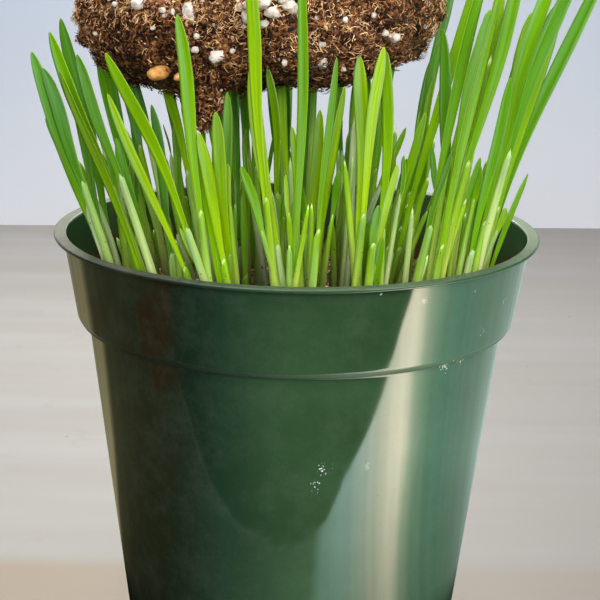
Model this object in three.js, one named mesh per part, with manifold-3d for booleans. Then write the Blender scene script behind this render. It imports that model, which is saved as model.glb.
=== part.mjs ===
// A round nursery pot of wheatgrass, with the clump of potting mix that the shoots have lifted.
// Millimetres, +Z up. The origin is the middle of the pot's flat underside.
import * as THREE from 'three';
import { mergeVertices } from 'three/addons/utils/BufferGeometryUtils.js';
import Module from 'manifold-3d';

const wasm = await Module();
wasm.setup();

// Pot
const potHeight = 140;
const lipRadius = 76;
const lipWidth = 3.8;
const lipThickness = 1.2;
const wall = 1.1;
const collarDepth = 27;
const collarTopRadius = 72.9;
const collarFootRadius = 68.9;
const collarStep = 3.5;
const footRadius = 51.2;
const floorThickness = 2.6;
const channelInner = 24;
const channelOuter = 46;
const channelDepth = 1.2;
const drainCount = 6;
const drainRadius = 4;
const drainSides = 8;
const potSegments = 40;

// Potting mix in the pot
const soilLevel = 118;
const soilGap = 0.35;
const soilUneven = 1.8;
const soilRings = [26, 52];
const soilSegments = 20;

// Lifted clump of potting mix
const clump = { x: -12.6, y: 0, z: 208, halfX: 54, halfY: 48, halfZ: 23.5, power: 2.6, slope: 0.07 };
const drip = { x: -27, y: -38, z: 186.5, halfWidth: 5, halfHeight: 9 };
const clumpColumns = 26;
const clumpRows = 13;
const clumpHoldDepth = 6;
const clumpLowest = 176;
const clumpStep = 0.5;
const clumpGap = 0.5;
const clumpClearance = 0.035;
const clumpSide = 0.45; // above this share of its half height, below its middle, is its side

// Seed and root crowns, in rings round the pot's axis
const crownRings = [
  { radius: 0, count: 1, plants: 3 },
  { radius: 18, count: 6, plants: 3 },
  { radius: 36, count: 12, plants: 3 },
  { radius: 54, count: 18, plants: 4 },
];
const crownRadius = 8.4;
const crownDepth = 6.5;
const crownSides = 7;
const pocketGap = 0.35;
const plantSpread = 5.4;

// Shoots
const rootDepth = 3.5;
const sheathRadius = 1.35;
const leafThickness = 0.9;
const leafCrease = 0.16;
const shootGap = 0.55;
const wallGap = 0.7;
const sliceStep = 2.5;
const leafLow = 66;
const leafHigh = 104;
const frontLow = 44;
const frontHigh = 74;
const frontLine = { x: 36, y: -38 };
const leftHigh = 82;
const leftLine = -38;
const leafNarrow = 2.6;
const leafBroad = 4.3;
const placingTries = 80;

// The shoots that stand out at the front and the sides: root x and y, tip x, y and z, leaf width,
// and how late the shoot bends over
const leadingShoots = [
  [-57, -24, -75, -23, 177, 3.4, 0.1],
  [-56, -26, -78, -31, 197, 4.0, 0.05],
  [-51, -35, -74, -34, 193, 4.6, 0.05],
  [-61, 10, -74, 12, 203, 4.8, 0.1],
  [-47, -40, -71, -42, 204, 4.2, 0.1],
  [-41, -46, -66, -49, 195, 4.4, 0.05],
  [-35, -51, -61, -60, 200, 3.8, 0.1],
  [-36, -49, -51, -50, 176, 3.0, 0],
  [-30, -53, -53, -55, 189, 2.8, 0.05],
  [-19, -57, -51, -64, 202, 3.9, 0.15],
  [-26, -57, -33, -64, 212, 3.9, 0],
  [-17, -58, -30, -56, 184, 3.6, 0.05],
  [-12, -59, -27, -60, 180, 3.8, 0],
  [-5, -61, -15, -60, 228, 3.8, -0.1],
  [0, -56, -14, -58, 197, 4.0, 0],
  [-1, -61, 1, -63, 226, 3.0, 0],
  [5, -60, 10, -61, 201, 3.4, 0.1],
  [18, -48, 18, -37, 215, 4.8, 0],
  [14, -57, 24, -38, 215, 3.8, 0],
  [28, -54, 26, -33, 215, 4.0, 0],
  [52, -20, 40, -30, 206, 3.8, 0],
  [22, -22, 52, -20, 222, 3.8, 0.1],
  [36, -35, 53, -30, 224, 4.2, 0.3],
  [38, -45, 52, -42, 213, 4.4, 0.1],
  [41, -46, 54, -52, 217, 5.0, 0.2],
  [44, -43, 64, -40, 228, 4.4, 0.2],
  [48, -33, 61, -33, 193, 3.4, 0.1],
  [51, -30, 75, -22, 229, 4.4, 0.2],
  [58, -17, 93, -8, 228, 4.6, 0.3],
  [56, -20, 76, -18, 208, 4.0, 0.15],
  [54, -27, 78, -32, 227, 4.4, 0.2],
  [61, -10, 70, -12, 161, 2.4, 0.1],
  [50, -21, 57, -23, 165, 2.6, 0.1],
];

// Grains in the clump's front: x, z and radius
const perliteInClump = [
  [-31, 210, 3.0],
  [-23, 199, 2.4],
  [-12, 214, 3.0],
  [-3, 213, 2.6],
  [-45, 213, 2.4],
  [6, 197, 1.8],
];
// Grains on the potting mix in the pot: x, y and radius
const perliteInPot = [
  [19, -19, 1.5],
  [-7, -26, 1.5],
];
const kernelsInClump = [
  { x: -40, z: 193, halfLength: 3.5, halfWidth: 2.4 },
  { x: -34, z: 192, halfLength: 1.8, halfWidth: 1.3 },
];
const grainGap = 0.35;

const potMaterial = new THREE.MeshStandardMaterial({ color: 0x3a5f42, roughness: 0.45 });
const soilMaterial = new THREE.MeshStandardMaterial({ color: 0x5a3b26, roughness: 0.95 });
const shootMaterial = new THREE.MeshStandardMaterial({ color: 0x6fa51f, roughness: 0.5 });
const perliteMaterial = new THREE.MeshStandardMaterial({ color: 0xe8e0d4, roughness: 0.9 });
const kernelMaterial = new THREE.MeshStandardMaterial({ color: 0xd79a50, roughness: 0.6 });

let seed = 20417;

function random() {
  seed = (seed * 16807) % 2147483647;
  return seed / 2147483647;
}

function between(low, high) {
  return low + (high - low) * random();
}

// Solids from geometries, and back
function closedSolid(geometry) {
  geometry.deleteAttribute('normal');
  geometry.deleteAttribute('uv');
  const merged = mergeVertices(geometry, 1e-4);
  const corners = merged.index.array;
  const kept = [];
  for (let i = 0; i < corners.length; i += 3) {
    const [a, b, c] = [corners[i], corners[i + 1], corners[i + 2]];
    if (a !== b && b !== c && c !== a) kept.push(a, b, c);
  }
  const vertProperties = new Float32Array(merged.attributes.position.array);
  return new wasm.Manifold(
    new wasm.Mesh({ numProp: 3, vertProperties, triVerts: new Uint32Array(kept) }),
  );
}

function geometryOf(solid) {
  const mesh = solid.getMesh();
  const geometry = new THREE.BufferGeometry();
  geometry.setAttribute('position', new THREE.BufferAttribute(mesh.vertProperties, 3));
  geometry.setIndex(new THREE.BufferAttribute(mesh.triVerts, 1));
  return geometry;
}

function facetedGeometry(points, triangles) {
  const geometry = new THREE.BufferGeometry();
  geometry.setAttribute('position', new THREE.Float32BufferAttribute(points.flat(), 3));
  geometry.setIndex(triangles.flat());
  return geometry;
}

function turned(profile, segments) {
  const outline = profile.map(([r, z]) => new THREE.Vector2(r, z));
  return new THREE.LatheGeometry(outline, segments).rotateX(Math.PI / 2);
}

// The pot's inner wall: radius at a height
function potInside(z) {
  const collarFoot = potHeight - collarDepth;
  if (z > collarFoot) {
    const rise = (z - collarFoot) / collarDepth;
    return collarFootRadius - wall + (collarTopRadius - collarFootRadius) * rise;
  }
  const rise = (z - floorThickness) / (collarFoot - floorThickness);
  return footRadius + (collarFootRadius - collarStep - wall - footRadius) * rise;
}

function potSolid() {
  const collarFoot = potHeight - collarDepth;
  const bodyTop = collarFootRadius - collarStep;
  const lipUnder = potHeight - lipThickness;
  const profile = [
    [0, 0],
    [channelInner, 0],
    [channelInner + 1, channelDepth],
    [channelOuter - 1, channelDepth],
    [channelOuter, 0],
    [footRadius - 0.6, 0],
    [footRadius + 0.8, 1.4],
    [bodyTop, collarFoot - 1.6],
    [collarFootRadius - 1, collarFoot - 0.8],
    [collarFootRadius, collarFoot + 0.8],
    [collarTopRadius, lipUnder],
    [lipRadius - 0.4, lipUnder],
    [lipRadius, lipUnder + 0.6],
    [lipRadius - 0.4, potHeight],
    [lipRadius - lipWidth, potHeight],
    [potInside(potHeight), potHeight - 0.6],
    [potInside(collarFoot + 0.1), collarFoot + 0.1],
    [potInside(collarFoot), collarFoot - 0.6],
    [potInside(floorThickness), floorThickness],
    [0, floorThickness],
  ];
  let pot = closedSolid(turned(profile, potSegments));
  const drainRing = (channelInner + channelOuter) / 2;
  for (let i = 0; i < drainCount; i += 1) {
    const angle = (i / drainCount) * 2 * Math.PI;
    const drain = new THREE.CylinderGeometry(drainRadius, drainRadius, 2 * floorThickness + 2, drainSides);
    drain.rotateX(Math.PI / 2);
    drain.translate(drainRing * Math.cos(angle), drainRing * Math.sin(angle), floorThickness / 2);
    pot = pot.subtract(closedSolid(drain));
  }
  return pot;
}

// The uneven top of the potting mix in the pot
function soilHeight(x, y) {
  const swell = 0.9 * Math.sin(x / 8.5 + 1) * Math.cos(y / 9.5);
  return soilLevel + swell + 0.6 * Math.sin((x + y) / 5.3);
}

function soilSolid() {
  const collarFoot = potHeight - collarDepth;
  const edge = potInside(soilLevel) - soilGap;
  const profile = [
    [0, floorThickness + soilGap],
    [potInside(floorThickness) - soilGap, floorThickness + soilGap],
    [potInside(collarFoot) - soilGap, collarFoot - 0.2],
    [potInside(collarFoot + 1) - soilGap, collarFoot + 1.2],
    [edge, soilLevel - 1.2],
    ...soilRings.toReversed().map((radius) => [radius, soilLevel]),
    [0, soilLevel],
  ];
  const geometry = turned(profile, soilSegments);
  const position = geometry.attributes.position;
  for (let i = 0; i < position.count; i += 1) {
    if (position.getZ(i) > soilLevel - 0.5) {
      position.setZ(i, soilHeight(position.getX(i), position.getY(i)));
    }
  }
  return closedSolid(geometry);
}

// How far a point is from the middle of the clump: 1 on its surface
function clumpReach(x, y, z) {
  const dx = x - clump.x;
  const dy = y - clump.y;
  const dz = z - clump.z - clump.slope * dx;
  const u = Math.abs(dx / clump.halfX) ** clump.power;
  const v = Math.abs(dy / clump.halfY) ** clump.power;
  const w = Math.abs(dz / clump.halfZ) ** clump.power;
  const broadLumps = 0.05 * Math.sin(dx / 7 + 1) * Math.cos(dy / 8);
  const smallLumps = 0.03 * Math.sin(dx / 3.6 + dy / 4 + dz / 3.4);
  return (u + v + w) ** (1 / clump.power) / (1 + broadLumps + smallLumps);
}

// Where a line along +Y at this x and z meets the clump's front
function clumpFront(x, z) {
  let y = clump.y - clump.halfY * 1.2;
  while (clumpReach(x, y, z) > 1 && y < clump.y) y += 0.1;
  return y;
}

function clumpSolid() {
  const geometry = new THREE.SphereGeometry(1, clumpColumns, clumpRows).rotateX(Math.PI / 2);
  const position = geometry.attributes.position;
  for (let i = 0; i < position.count; i += 1) {
    const ray = new THREE.Vector3().fromBufferAttribute(position, i);
    const spread = ray.clone().multiply(new THREE.Vector3(clump.halfX, clump.halfY, clump.halfZ));
    const point = spread.clone();
    for (let pass = 0; pass < 4; pass += 1) {
      const x = clump.x + point.x;
      point.multiplyScalar(1 / clumpReach(x, clump.y + point.y, clump.z + point.z + clump.slope * point.x));
    }
    position.setXYZ(i, clump.x + point.x, clump.y + point.y, clump.z + point.z + clump.slope * point.x);
  }
  const lump = new THREE.SphereGeometry(1, 9, 7).rotateX(Math.PI / 2);
  lump.scale(drip.halfWidth, drip.halfWidth, drip.halfHeight);
  lump.translate(drip.x, drip.y, drip.z);
  return closedSolid(geometry).add(closedSolid(lump));
}

// A shoot's place at a share t of its height, a narrow section there, and its half width and depth
function shootSection(shoot, t) {
  const lean = t - 2 * shoot.bow * t * (1 - t);
  const x = shoot.x + (shoot.tipX - shoot.x) * lean;
  const y = shoot.y + (shoot.tipY - shoot.y) * lean;
  const z = shoot.rootZ + (shoot.tipZ - shoot.rootZ) * t;
  const angle = shoot.face + shoot.twist * t;
  let half = sheathRadius * (1.1 - 0.25 * Math.min(1, t / shoot.sheathEnd));
  let depth = half;
  let crease = 0;
  if (shoot.leafWidth > 0 && t > shoot.sheathEnd) {
    const up = (t - shoot.sheathEnd) / (1 - shoot.sheathEnd);
    const widen = Math.min(1, 0.5 + up / 0.7);
    const narrow = up > 0.72 ? Math.sqrt(Math.max(0, 1 - ((up - 0.72) / 0.28) ** 2)) : 1;
    half = (shoot.leafWidth / 2) * widen * narrow;
    depth = leafThickness / 2;
    crease = leafCrease * half;
  }
  if (shoot.leafWidth === 0 && t > 0.999) half = 0;
  return { x, y, z, side: [Math.cos(angle), Math.sin(angle)], half, depth, crease };
}

// The shares of the height at which a shoot's faceted surface has a section
function shootShares(shoot) {
  if (shoot.leafWidth === 0) return [0, 0.55, 0.9, 1];
  const rest = 1 - shoot.sheathEnd;
  const shares = [0, shoot.sheathEnd, shoot.sheathEnd + 0.12 * rest, shoot.sheathEnd + 0.4 * rest];
  shares.push(shoot.sheathEnd + 0.7 * rest, shoot.sheathEnd + 0.9 * rest, 1);
  return shares.filter((share) => share < shoot.cut - 0.02).concat([shoot.cut]);
}

// The two ends of the shoot's flat section at a height, taken along its straight facets
function sliceAt(shoot, z) {
  const sections = shoot.sections;
  let i = 0;
  while (i < sections.length - 2 && sections[i + 1].z < z) i += 1;
  const [a, b] = [sections[i], sections[i + 1]];
  const f = (z - a.z) / (b.z - a.z);
  const mix = (one, two) => one + (two - one) * f;
  const ends = [];
  for (const sign of [-1, 1]) {
    const ax = a.x + sign * a.half * a.side[0];
    const ay = a.y + sign * a.half * a.side[1];
    const bx = b.x + sign * b.half * b.side[0];
    const by = b.y + sign * b.half * b.side[1];
    ends.push([mix(ax, bx), mix(ay, by)]);
  }
  return { ends, depth: mix(a.depth + a.crease, b.depth + b.crease) };
}

function pointToLine(p, a, b) {
  const dx = b[0] - a[0];
  const dy = b[1] - a[1];
  const length2 = dx * dx + dy * dy;
  const along = length2 > 0 ? ((p[0] - a[0]) * dx + (p[1] - a[1]) * dy) / length2 : 0;
  const f = Math.max(0, Math.min(1, along));
  return Math.hypot(p[0] - a[0] - f * dx, p[1] - a[1] - f * dy);
}

function turnsLeft(a, b, c) {
  return (b[0] - a[0]) * (c[1] - a[1]) - (b[1] - a[1]) * (c[0] - a[0]) > 0;
}

function lineDistance([a, b], [c, d]) {
  const crosses = turnsLeft(a, b, c) !== turnsLeft(a, b, d) && turnsLeft(c, d, a) !== turnsLeft(c, d, b);
  if (crosses) return 0;
  return Math.min(pointToLine(a, c, d), pointToLine(b, c, d), pointToLine(c, a, b), pointToLine(d, a, b));
}

// Slices of a shoot at every level, kept for the tests against other shoots
function slicesOf(shoot) {
  const slices = [];
  const first = Math.ceil(shoot.sections[0].z / sliceStep);
  const last = Math.floor(shoot.sections[shoot.sections.length - 1].z / sliceStep);
  for (let level = first; level <= last; level += 1) {
    slices[level] = sliceAt(shoot, level * sliceStep);
  }
  return slices;
}

function shootsCross(one, two) {
  const sameRoot = one.crown === two.crown;
  for (const level of Object.keys(one.slices)) {
    if (sameRoot && level * sliceStep < one.rootZ + 3 * rootDepth) continue;
    const a = one.slices[level];
    const b = two.slices[level];
    if (b === undefined) continue;
    if (Math.abs(a.ends[0][0] - b.ends[0][0]) > 12) continue;
    if (lineDistance(a.ends, b.ends) < a.depth + b.depth + shootGap) return true;
  }
  return false;
}

// A shoot has to come up through its own pocket, clear of the potting mix round it
function leavesPocket(shoot, crown) {
  const pocketInside = crownRadius * Math.cos(Math.PI / crownSides);
  const { ends, depth } = sliceAt(shoot, shoot.rootZ + rootDepth + soilUneven);
  return ends.some(([x, y]) => Math.hypot(x - crown.x, y - crown.y) + depth / 2 > pocketInside);
}

function meetsWall(shoot) {
  const top = Math.min(potHeight + 2, shoot.sections[shoot.sections.length - 1].z);
  for (let z = shoot.rootZ + crownDepth; z < top; z += sliceStep) {
    const { ends, depth } = sliceAt(shoot, z);
    const room = potInside(Math.min(z, potHeight)) - wallGap - depth;
    if (ends.some(([x, y]) => Math.hypot(x, y) > room)) return true;
  }
  return false;
}

// The height at which a shoot comes up against the clump, or 0 if it passes clear
function clumpContact(shoot) {
  for (let z = clumpLowest; z < shoot.tipZ; z += clumpStep) {
    const { ends, depth } = sliceAt(shoot, z);
    const middle = [(ends[0][0] + ends[1][0]) / 2, (ends[0][1] + ends[1][1]) / 2];
    const limit = 1 + clumpClearance + depth / clump.halfX;
    for (const [x, y] of [ends[0], middle, ends[1]]) {
      if (clumpReach(x, y, z + clumpGap) < limit) return z;
    }
  }
  return 0;
}

// A shoot under the clump ends at it, and one in four stands in a plain hole in it. One that
// would meet the clump's side, the lump that hangs from it or the pot's wall doesn't fit
function fitShoot(shoot, crown, number) {
  shoot.cut = 1;
  shoot.held = false;
  shoot.sections = shootShares(shoot).map((t) => shootSection(shoot, t));
  if (leavesPocket(shoot, crown) || meetsWall(shoot)) return false;
  const contact = clumpContact(shoot);
  if (contact > 0) {
    const { ends } = sliceAt(shoot, contact);
    const besideDrip = Math.hypot(ends[0][0] - drip.x, ends[0][1] - drip.y) < 2 * drip.halfWidth;
    if (contact > clump.z - clumpSide * clump.halfZ || besideDrip) return false;
    shoot.held = number % 4 === 0;
    const end = shoot.held ? contact + clumpHoldDepth : contact;
    shoot.cut = Math.min(1, (end - shoot.rootZ) / (shoot.tipZ - shoot.rootZ));
    shoot.sections = shootShares(shoot).map((t) => shootSection(shoot, t));
  }
  shoot.slices = slicesOf(shoot);
  return true;
}

function crossesOthers(shoot, shoots, ownToo) {
  return shoots.some((other) => (ownToo || other.crown !== shoot.crown) && shootsCross(shoot, other));
}

function crownPlaces() {
  const places = [];
  crownRings.forEach(({ radius, count, plants }, ring) => {
    for (let i = 0; i < count; i += 1) {
      const angle = ((i + 0.5 * (ring % 2)) / count) * 2 * Math.PI;
      const x = radius * Math.cos(angle);
      const y = radius * Math.sin(angle);
      places.push({ x, y, z: soilHeight(x, y), plants: y < -30 ? plants + 1 : plants });
    }
  });
  return places;
}

function nearestCrown(crowns, x, y) {
  let best = 0;
  crowns.forEach((crown, i) => {
    if (Math.hypot(crown.x - x, crown.y - y) < Math.hypot(crowns[best].x - x, crowns[best].y - y)) best = i;
  });
  return best;
}

function leadingShoot(crowns, [x, y, tipX, tipY, tipZ, leafWidth, bow], spread) {
  const crown = nearestCrown(crowns, x, y);
  const away = Math.hypot(x - crowns[crown].x, y - crowns[crown].y);
  const pull = Math.min(1, spread / away);
  return {
    crown,
    x: crowns[crown].x + (x - crowns[crown].x) * pull,
    y: crowns[crown].y + (y - crowns[crown].y) * pull,
    rootZ: crowns[crown].z - rootDepth,
    tipX,
    tipY,
    tipZ,
    bow,
    leafWidth,
    sheathEnd: between(0.14, 0.42),
    face: between(-0.5, 0.5),
    twist: between(-0.5, 0.5),
  };
}

function scatteredShoot(crowns, crown, attempt) {
  const around = between(0, 2 * Math.PI);
  const away = plantSpread * Math.sqrt(random());
  const x = crowns[crown].x + away * Math.cos(around);
  const y = crowns[crown].y + away * Math.sin(around);
  const out = Math.hypot(x, y) / 60;
  const short = random() < 0.22 || attempt > placingTries / 2;
  const inFront = x < frontLine.x && y < frontLine.y;
  const tallest = x < leftLine ? leftHigh : leafHigh;
  const tall = inFront ? between(frontLow, frontHigh) : between(leafLow, tallest);
  const height = short ? between(16, 52) : tall;
  const lean = height * (0.22 * out + between(-0.07, 0.13));
  const drift = height * between(-0.09, 0.09);
  const outX = x / (60 * Math.max(out, 0.05));
  const outY = y / (60 * Math.max(out, 0.05));
  const rootZ = crowns[crown].z - rootDepth;
  const bare = short && random() < 0.6;
  return {
    crown,
    x,
    y,
    rootZ,
    tipX: x + lean * outX - drift * outY,
    tipY: y + lean * outY + drift * outX,
    tipZ: rootZ + rootDepth + height,
    bow: between(0, 0.3),
    leafWidth: bare ? 0 : between(leafNarrow, leafBroad) * (short ? 0.7 : 1),
    sheathEnd: bare ? 1 : between(0.14, 0.5),
    face: between(-0.9, 0.9),
    twist: between(-0.7, 0.7),
  };
}

function growShoots(crowns) {
  const shoots = [];
  for (const row of leadingShoots) {
    let placed = false;
    for (let spread = plantSpread; spread > 1 && !placed; spread -= 1) {
      const shoot = leadingShoot(crowns, row, spread);
      placed = fitShoot(shoot, crowns[shoot.crown], shoots.length) && !crossesOthers(shoot, shoots, false);
      if (placed) shoots.push(shoot);
    }
  }
  crowns.forEach((place, crown) => {
    const missing = place.plants - shoots.filter((shoot) => shoot.crown === crown).length;
    for (let plant = 0; plant < Math.max(1, missing); plant += 1) {
      for (let attempt = 0; attempt < placingTries; attempt += 1) {
        const shoot = scatteredShoot(crowns, crown, attempt);
        if (!fitShoot(shoot, place, shoots.length) || crossesOthers(shoot, shoots, true)) continue;
        shoots.push(shoot);
        break;
      }
    }
  });
  return shoots;
}

// A shoot as one solid: four-cornered sections, creased along the middle of the leaf
function shootSolid(shoot, grow = 0) {
  const points = [];
  const triangles = [];
  const sections = shoot.sections;
  for (const { x, y, z, side, half, depth, crease } of sections) {
    const [sx, sy] = [side[0] * (half + grow), side[1] * (half + grow)];
    const [nx, ny] = [-side[1], side[0]];
    points.push([x - sx, y - sy, z]);
    points.push([x + nx * (crease - depth - grow), y + ny * (crease - depth - grow), z]);
    points.push([x + sx, y + sy, z]);
    points.push([x + nx * (crease + depth + grow), y + ny * (crease + depth + grow), z]);
  }
  const pointed = shoot.cut === 1;
  const bands = sections.length - (pointed ? 2 : 1);
  for (let band = 0; band < bands; band += 1) {
    for (let corner = 0; corner < 4; corner += 1) {
      const a = 4 * band + corner;
      const b = 4 * band + ((corner + 1) % 4);
      if (corner % 2 === 0) triangles.push([a, b, b + 4], [a, b + 4, a + 4]);
      else triangles.push([a, b, a + 4], [b, b + 4, a + 4]);
    }
  }
  triangles.push([0, 3, 2], [0, 2, 1]);
  const last = 4 * bands;
  if (pointed) {
    const tip = sections[sections.length - 1];
    points.length = last + 4;
    points.push([tip.x, tip.y, tip.z]);
    for (let corner = 0; corner < 4; corner += 1) {
      triangles.push([last + corner, last + ((corner + 1) % 4), last + 4]);
    }
  } else {
    triangles.push([last, last + 1, last + 2], [last, last + 2, last + 3]);
  }
  return closedSolid(facetedGeometry(points, triangles));
}

// The knot of seeds and roots that a bunch of shoots grows from, and its pocket in the potting mix
function crownSolid(crown, grow) {
  const rim = grow > 0 ? [[crownRadius + grow, 6], [0, 6]] : [[crownRadius, -1], [0, 1.5]];
  const profile = [[0, -crownDepth - grow], [crownRadius + grow, -crownDepth - grow], ...rim];
  return closedSolid(turned(profile, crownSides).translate(crown.x, crown.y, crown.z));
}

function grainSolid(x, y, z, radius, grow) {
  const geometry = new THREE.DodecahedronGeometry(1);
  geometry.scale(radius + grow, 0.8 * radius + grow, 0.9 * radius + grow);
  return closedSolid(geometry.rotateY(x).translate(x, y, z));
}

function kernelSolid({ x, z, halfLength, halfWidth }, grow) {
  const geometry = new THREE.SphereGeometry(1, 10, 6);
  geometry.scale(halfLength + grow, halfWidth + grow, halfWidth + grow);
  return closedSolid(geometry.translate(x, clumpFront(x, z) + 0.3 * halfWidth, z));
}

const wheatgrass = new THREE.Group();

function addPiece(name, solid, material) {
  const mesh = new THREE.Mesh(geometryOf(solid), material);
  mesh.name = name;
  wheatgrass.add(mesh);
}

const crowns = crownPlaces();
const shoots = growShoots(crowns);
let soil = soilSolid();
let liftedClump = clumpSolid();

crowns.forEach((crown, i) => {
  soil = soil.subtract(crownSolid(crown, pocketGap));
  const bunch = shoots.filter((shoot) => shoot.crown === i);
  const solid = bunch.reduce((sum, shoot) => sum.add(shootSolid(shoot)), crownSolid(crown, 0));
  addPiece(`shoots_${String(i + 1).padStart(2, '0')}`, solid, shootMaterial);
});
for (const shoot of shoots.filter(({ held }) => held)) {
  liftedClump = liftedClump.subtract(shootSolid(shoot, pocketGap));
}
perliteInClump.forEach(([x, z, radius], i) => {
  const y = clumpFront(x, z) + 0.35 * radius;
  liftedClump = liftedClump.subtract(grainSolid(x, y, z, radius, grainGap));
  addPiece(`perlite_${i + 1}`, grainSolid(x, y, z, radius, 0), perliteMaterial);
});
perliteInPot.forEach(([x, y, radius], i) => {
  const z = soilHeight(x, y);
  soil = soil.subtract(grainSolid(x, y, z, radius, grainGap));
  addPiece(`perlite_${perliteInClump.length + i + 1}`, grainSolid(x, y, z, radius, 0), perliteMaterial);
});
kernelsInClump.forEach((kernel, i) => {
  liftedClump = liftedClump.subtract(kernelSolid(kernel, grainGap));
  addPiece(`kernel_${i + 1}`, kernelSolid(kernel, 0), kernelMaterial);
});
addPiece('pot', potSolid(), potMaterial);
addPiece('soil', soil, soilMaterial);
addPiece('lifted_clump', liftedClump, soilMaterial);

export default wheatgrass;
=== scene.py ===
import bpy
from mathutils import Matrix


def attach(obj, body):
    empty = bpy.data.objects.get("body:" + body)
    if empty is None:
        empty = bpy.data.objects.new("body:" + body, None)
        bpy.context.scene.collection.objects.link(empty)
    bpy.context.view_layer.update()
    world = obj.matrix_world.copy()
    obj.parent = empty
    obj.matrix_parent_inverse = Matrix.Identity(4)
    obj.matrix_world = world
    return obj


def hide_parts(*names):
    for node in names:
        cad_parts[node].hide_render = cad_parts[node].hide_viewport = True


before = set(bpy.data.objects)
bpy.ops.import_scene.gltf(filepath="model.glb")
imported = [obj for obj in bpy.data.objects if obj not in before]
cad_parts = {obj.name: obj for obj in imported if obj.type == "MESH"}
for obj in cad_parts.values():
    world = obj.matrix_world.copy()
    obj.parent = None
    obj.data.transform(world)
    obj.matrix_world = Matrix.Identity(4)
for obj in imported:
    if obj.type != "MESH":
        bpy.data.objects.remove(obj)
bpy.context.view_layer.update()        # bodies, nodes, joints and record

import random
from functools import partial
from math import ceil, cos, exp, floor, hypot, pi, radians, sin, sqrt
from types import SimpleNamespace as Values

import bmesh
import bpy
import numpy as np
from mathutils import Matrix, Vector, noise

mm = 0.001


# Camera, first of all

camera = Values(
    target=(1.4, 0.0, 116.4),  # mm, the middle of the picture
    distance=520.0,
    elevation=15.37,  # degrees above the horizon
    roll=1.1,
    lens=97.86,
)


def addCamera():
    data = bpy.data.cameras.new("photoCamera")
    data.lens = camera.lens
    data.sensor_width = 36.0
    data.clip_start, data.clip_end = 0.02, 20.0
    viewer = bpy.data.objects.new("photoCamera", data)
    bpy.context.collection.objects.link(viewer)
    tilt = radians(camera.elevation)
    away = Vector((0.0, -cos(tilt), sin(tilt)))
    viewer.location = (Vector(camera.target) + away * camera.distance) * mm
    turn = Matrix.Rotation(radians(90.0) - tilt, 3, "X")
    turn = turn @ Matrix.Rotation(radians(camera.roll), 3, "Z")
    viewer.rotation_euler = turn.to_euler()
    bpy.context.scene.camera = viewer


addCamera()
bpy.context.scene.view_settings.view_transform = "Standard"
print("camera placed")


# Shared helpers

def linear(hexColour):
    # sRGB hex to linear RGBA
    parts = [int(hexColour[i:i + 2], 16) / 255.0 for i in (1, 3, 5)]
    return (*[c / 12.92 if c <= 0.04045 else ((c + 0.055) / 1.055) ** 2.4 for c in parts], 1.0)


blend = {"data_type": "RGBA"}
multiply = {"data_type": "RGBA", "blend_type": "MULTIPLY"}


def addNode(material, kind, inputs=(), stops=(), **settings):
    # inputs go by name, by number or in order: a map range takes its value, what it maps from and
    # what it maps to. A node as an input stands for its first output in use, a text for a colour.
    made = material.node_tree.nodes.new("ShaderNode" + kind)
    for name, value in settings.items():
        setattr(made, name, value)
    for i, (place, colour) in enumerate(stops):
        element = made.color_ramp.elements[i] if i < 2 else made.color_ramp.elements.new(place)
        element.position = place
        element.color = linear(colour)
    for name, value in inputs.items() if isinstance(inputs, dict) else enumerate(inputs):
        if isinstance(value, bpy.types.Node):
            value = next(output for output in value.outputs if output.enabled)
        if isinstance(value, bpy.types.NodeSocket):
            material.node_tree.links.new(value, made.inputs[name])
        else:
            made.inputs[name].default_value = linear(value) if isinstance(value, str) else value
    return made


def newMaterial(name):
    material = bpy.data.materials.new(name)
    material.use_nodes = True
    material.node_tree.nodes.clear()
    return material, partial(addNode, material)


def showFrontOnly(add, shader):
    # seen from behind or below, the surface is clear
    side = add("NewGeometry")
    clear = add("BsdfTransparent")
    both = add("MixShader", [side.outputs["Backfacing"], shader, clear])
    add("OutputMaterial", [both])


def addPiece(bm, name, materials, slot=None, replaced=(), smooth=True):
    mesh = bpy.data.meshes.new(name)
    bm.to_mesh(mesh)
    bm.free()
    for material in materials:
        mesh.materials.append(material)
    if smooth:
        mesh.shade_smooth()
    piece = bpy.data.objects.new(name, mesh)
    bpy.context.collection.objects.link(piece)
    if slot:
        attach(piece, "root")
        if replaced:
            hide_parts(*replaced)
    return piece


def closedSkin(bm, sides, rings, place, shade):
    # a grid rolled into a closed tube: place and shade take the shares round it and along it
    verts = bmesh.ops.create_grid(bm, x_segments=sides, y_segments=rings, size=1.0)["verts"]
    faces = {face for vert in verts for face in vert.link_faces}
    for vert in verts:
        u, v = (vert.co.x + 1.0) / 2.0, (vert.co.y + 1.0) / 2.0
        vert[shade[0]] = shade[1](u, v)
        vert.co = place(u, v) * mm
    bmesh.ops.remove_doubles(bm, verts=verts, dist=1e-7)
    faces = [face for face in faces if face.is_valid]
    bmesh.ops.recalc_face_normals(bm, faces=faces)
    return faces


# The rule that the shoots, the clump and the mix are grown by, in millimetres

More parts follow.
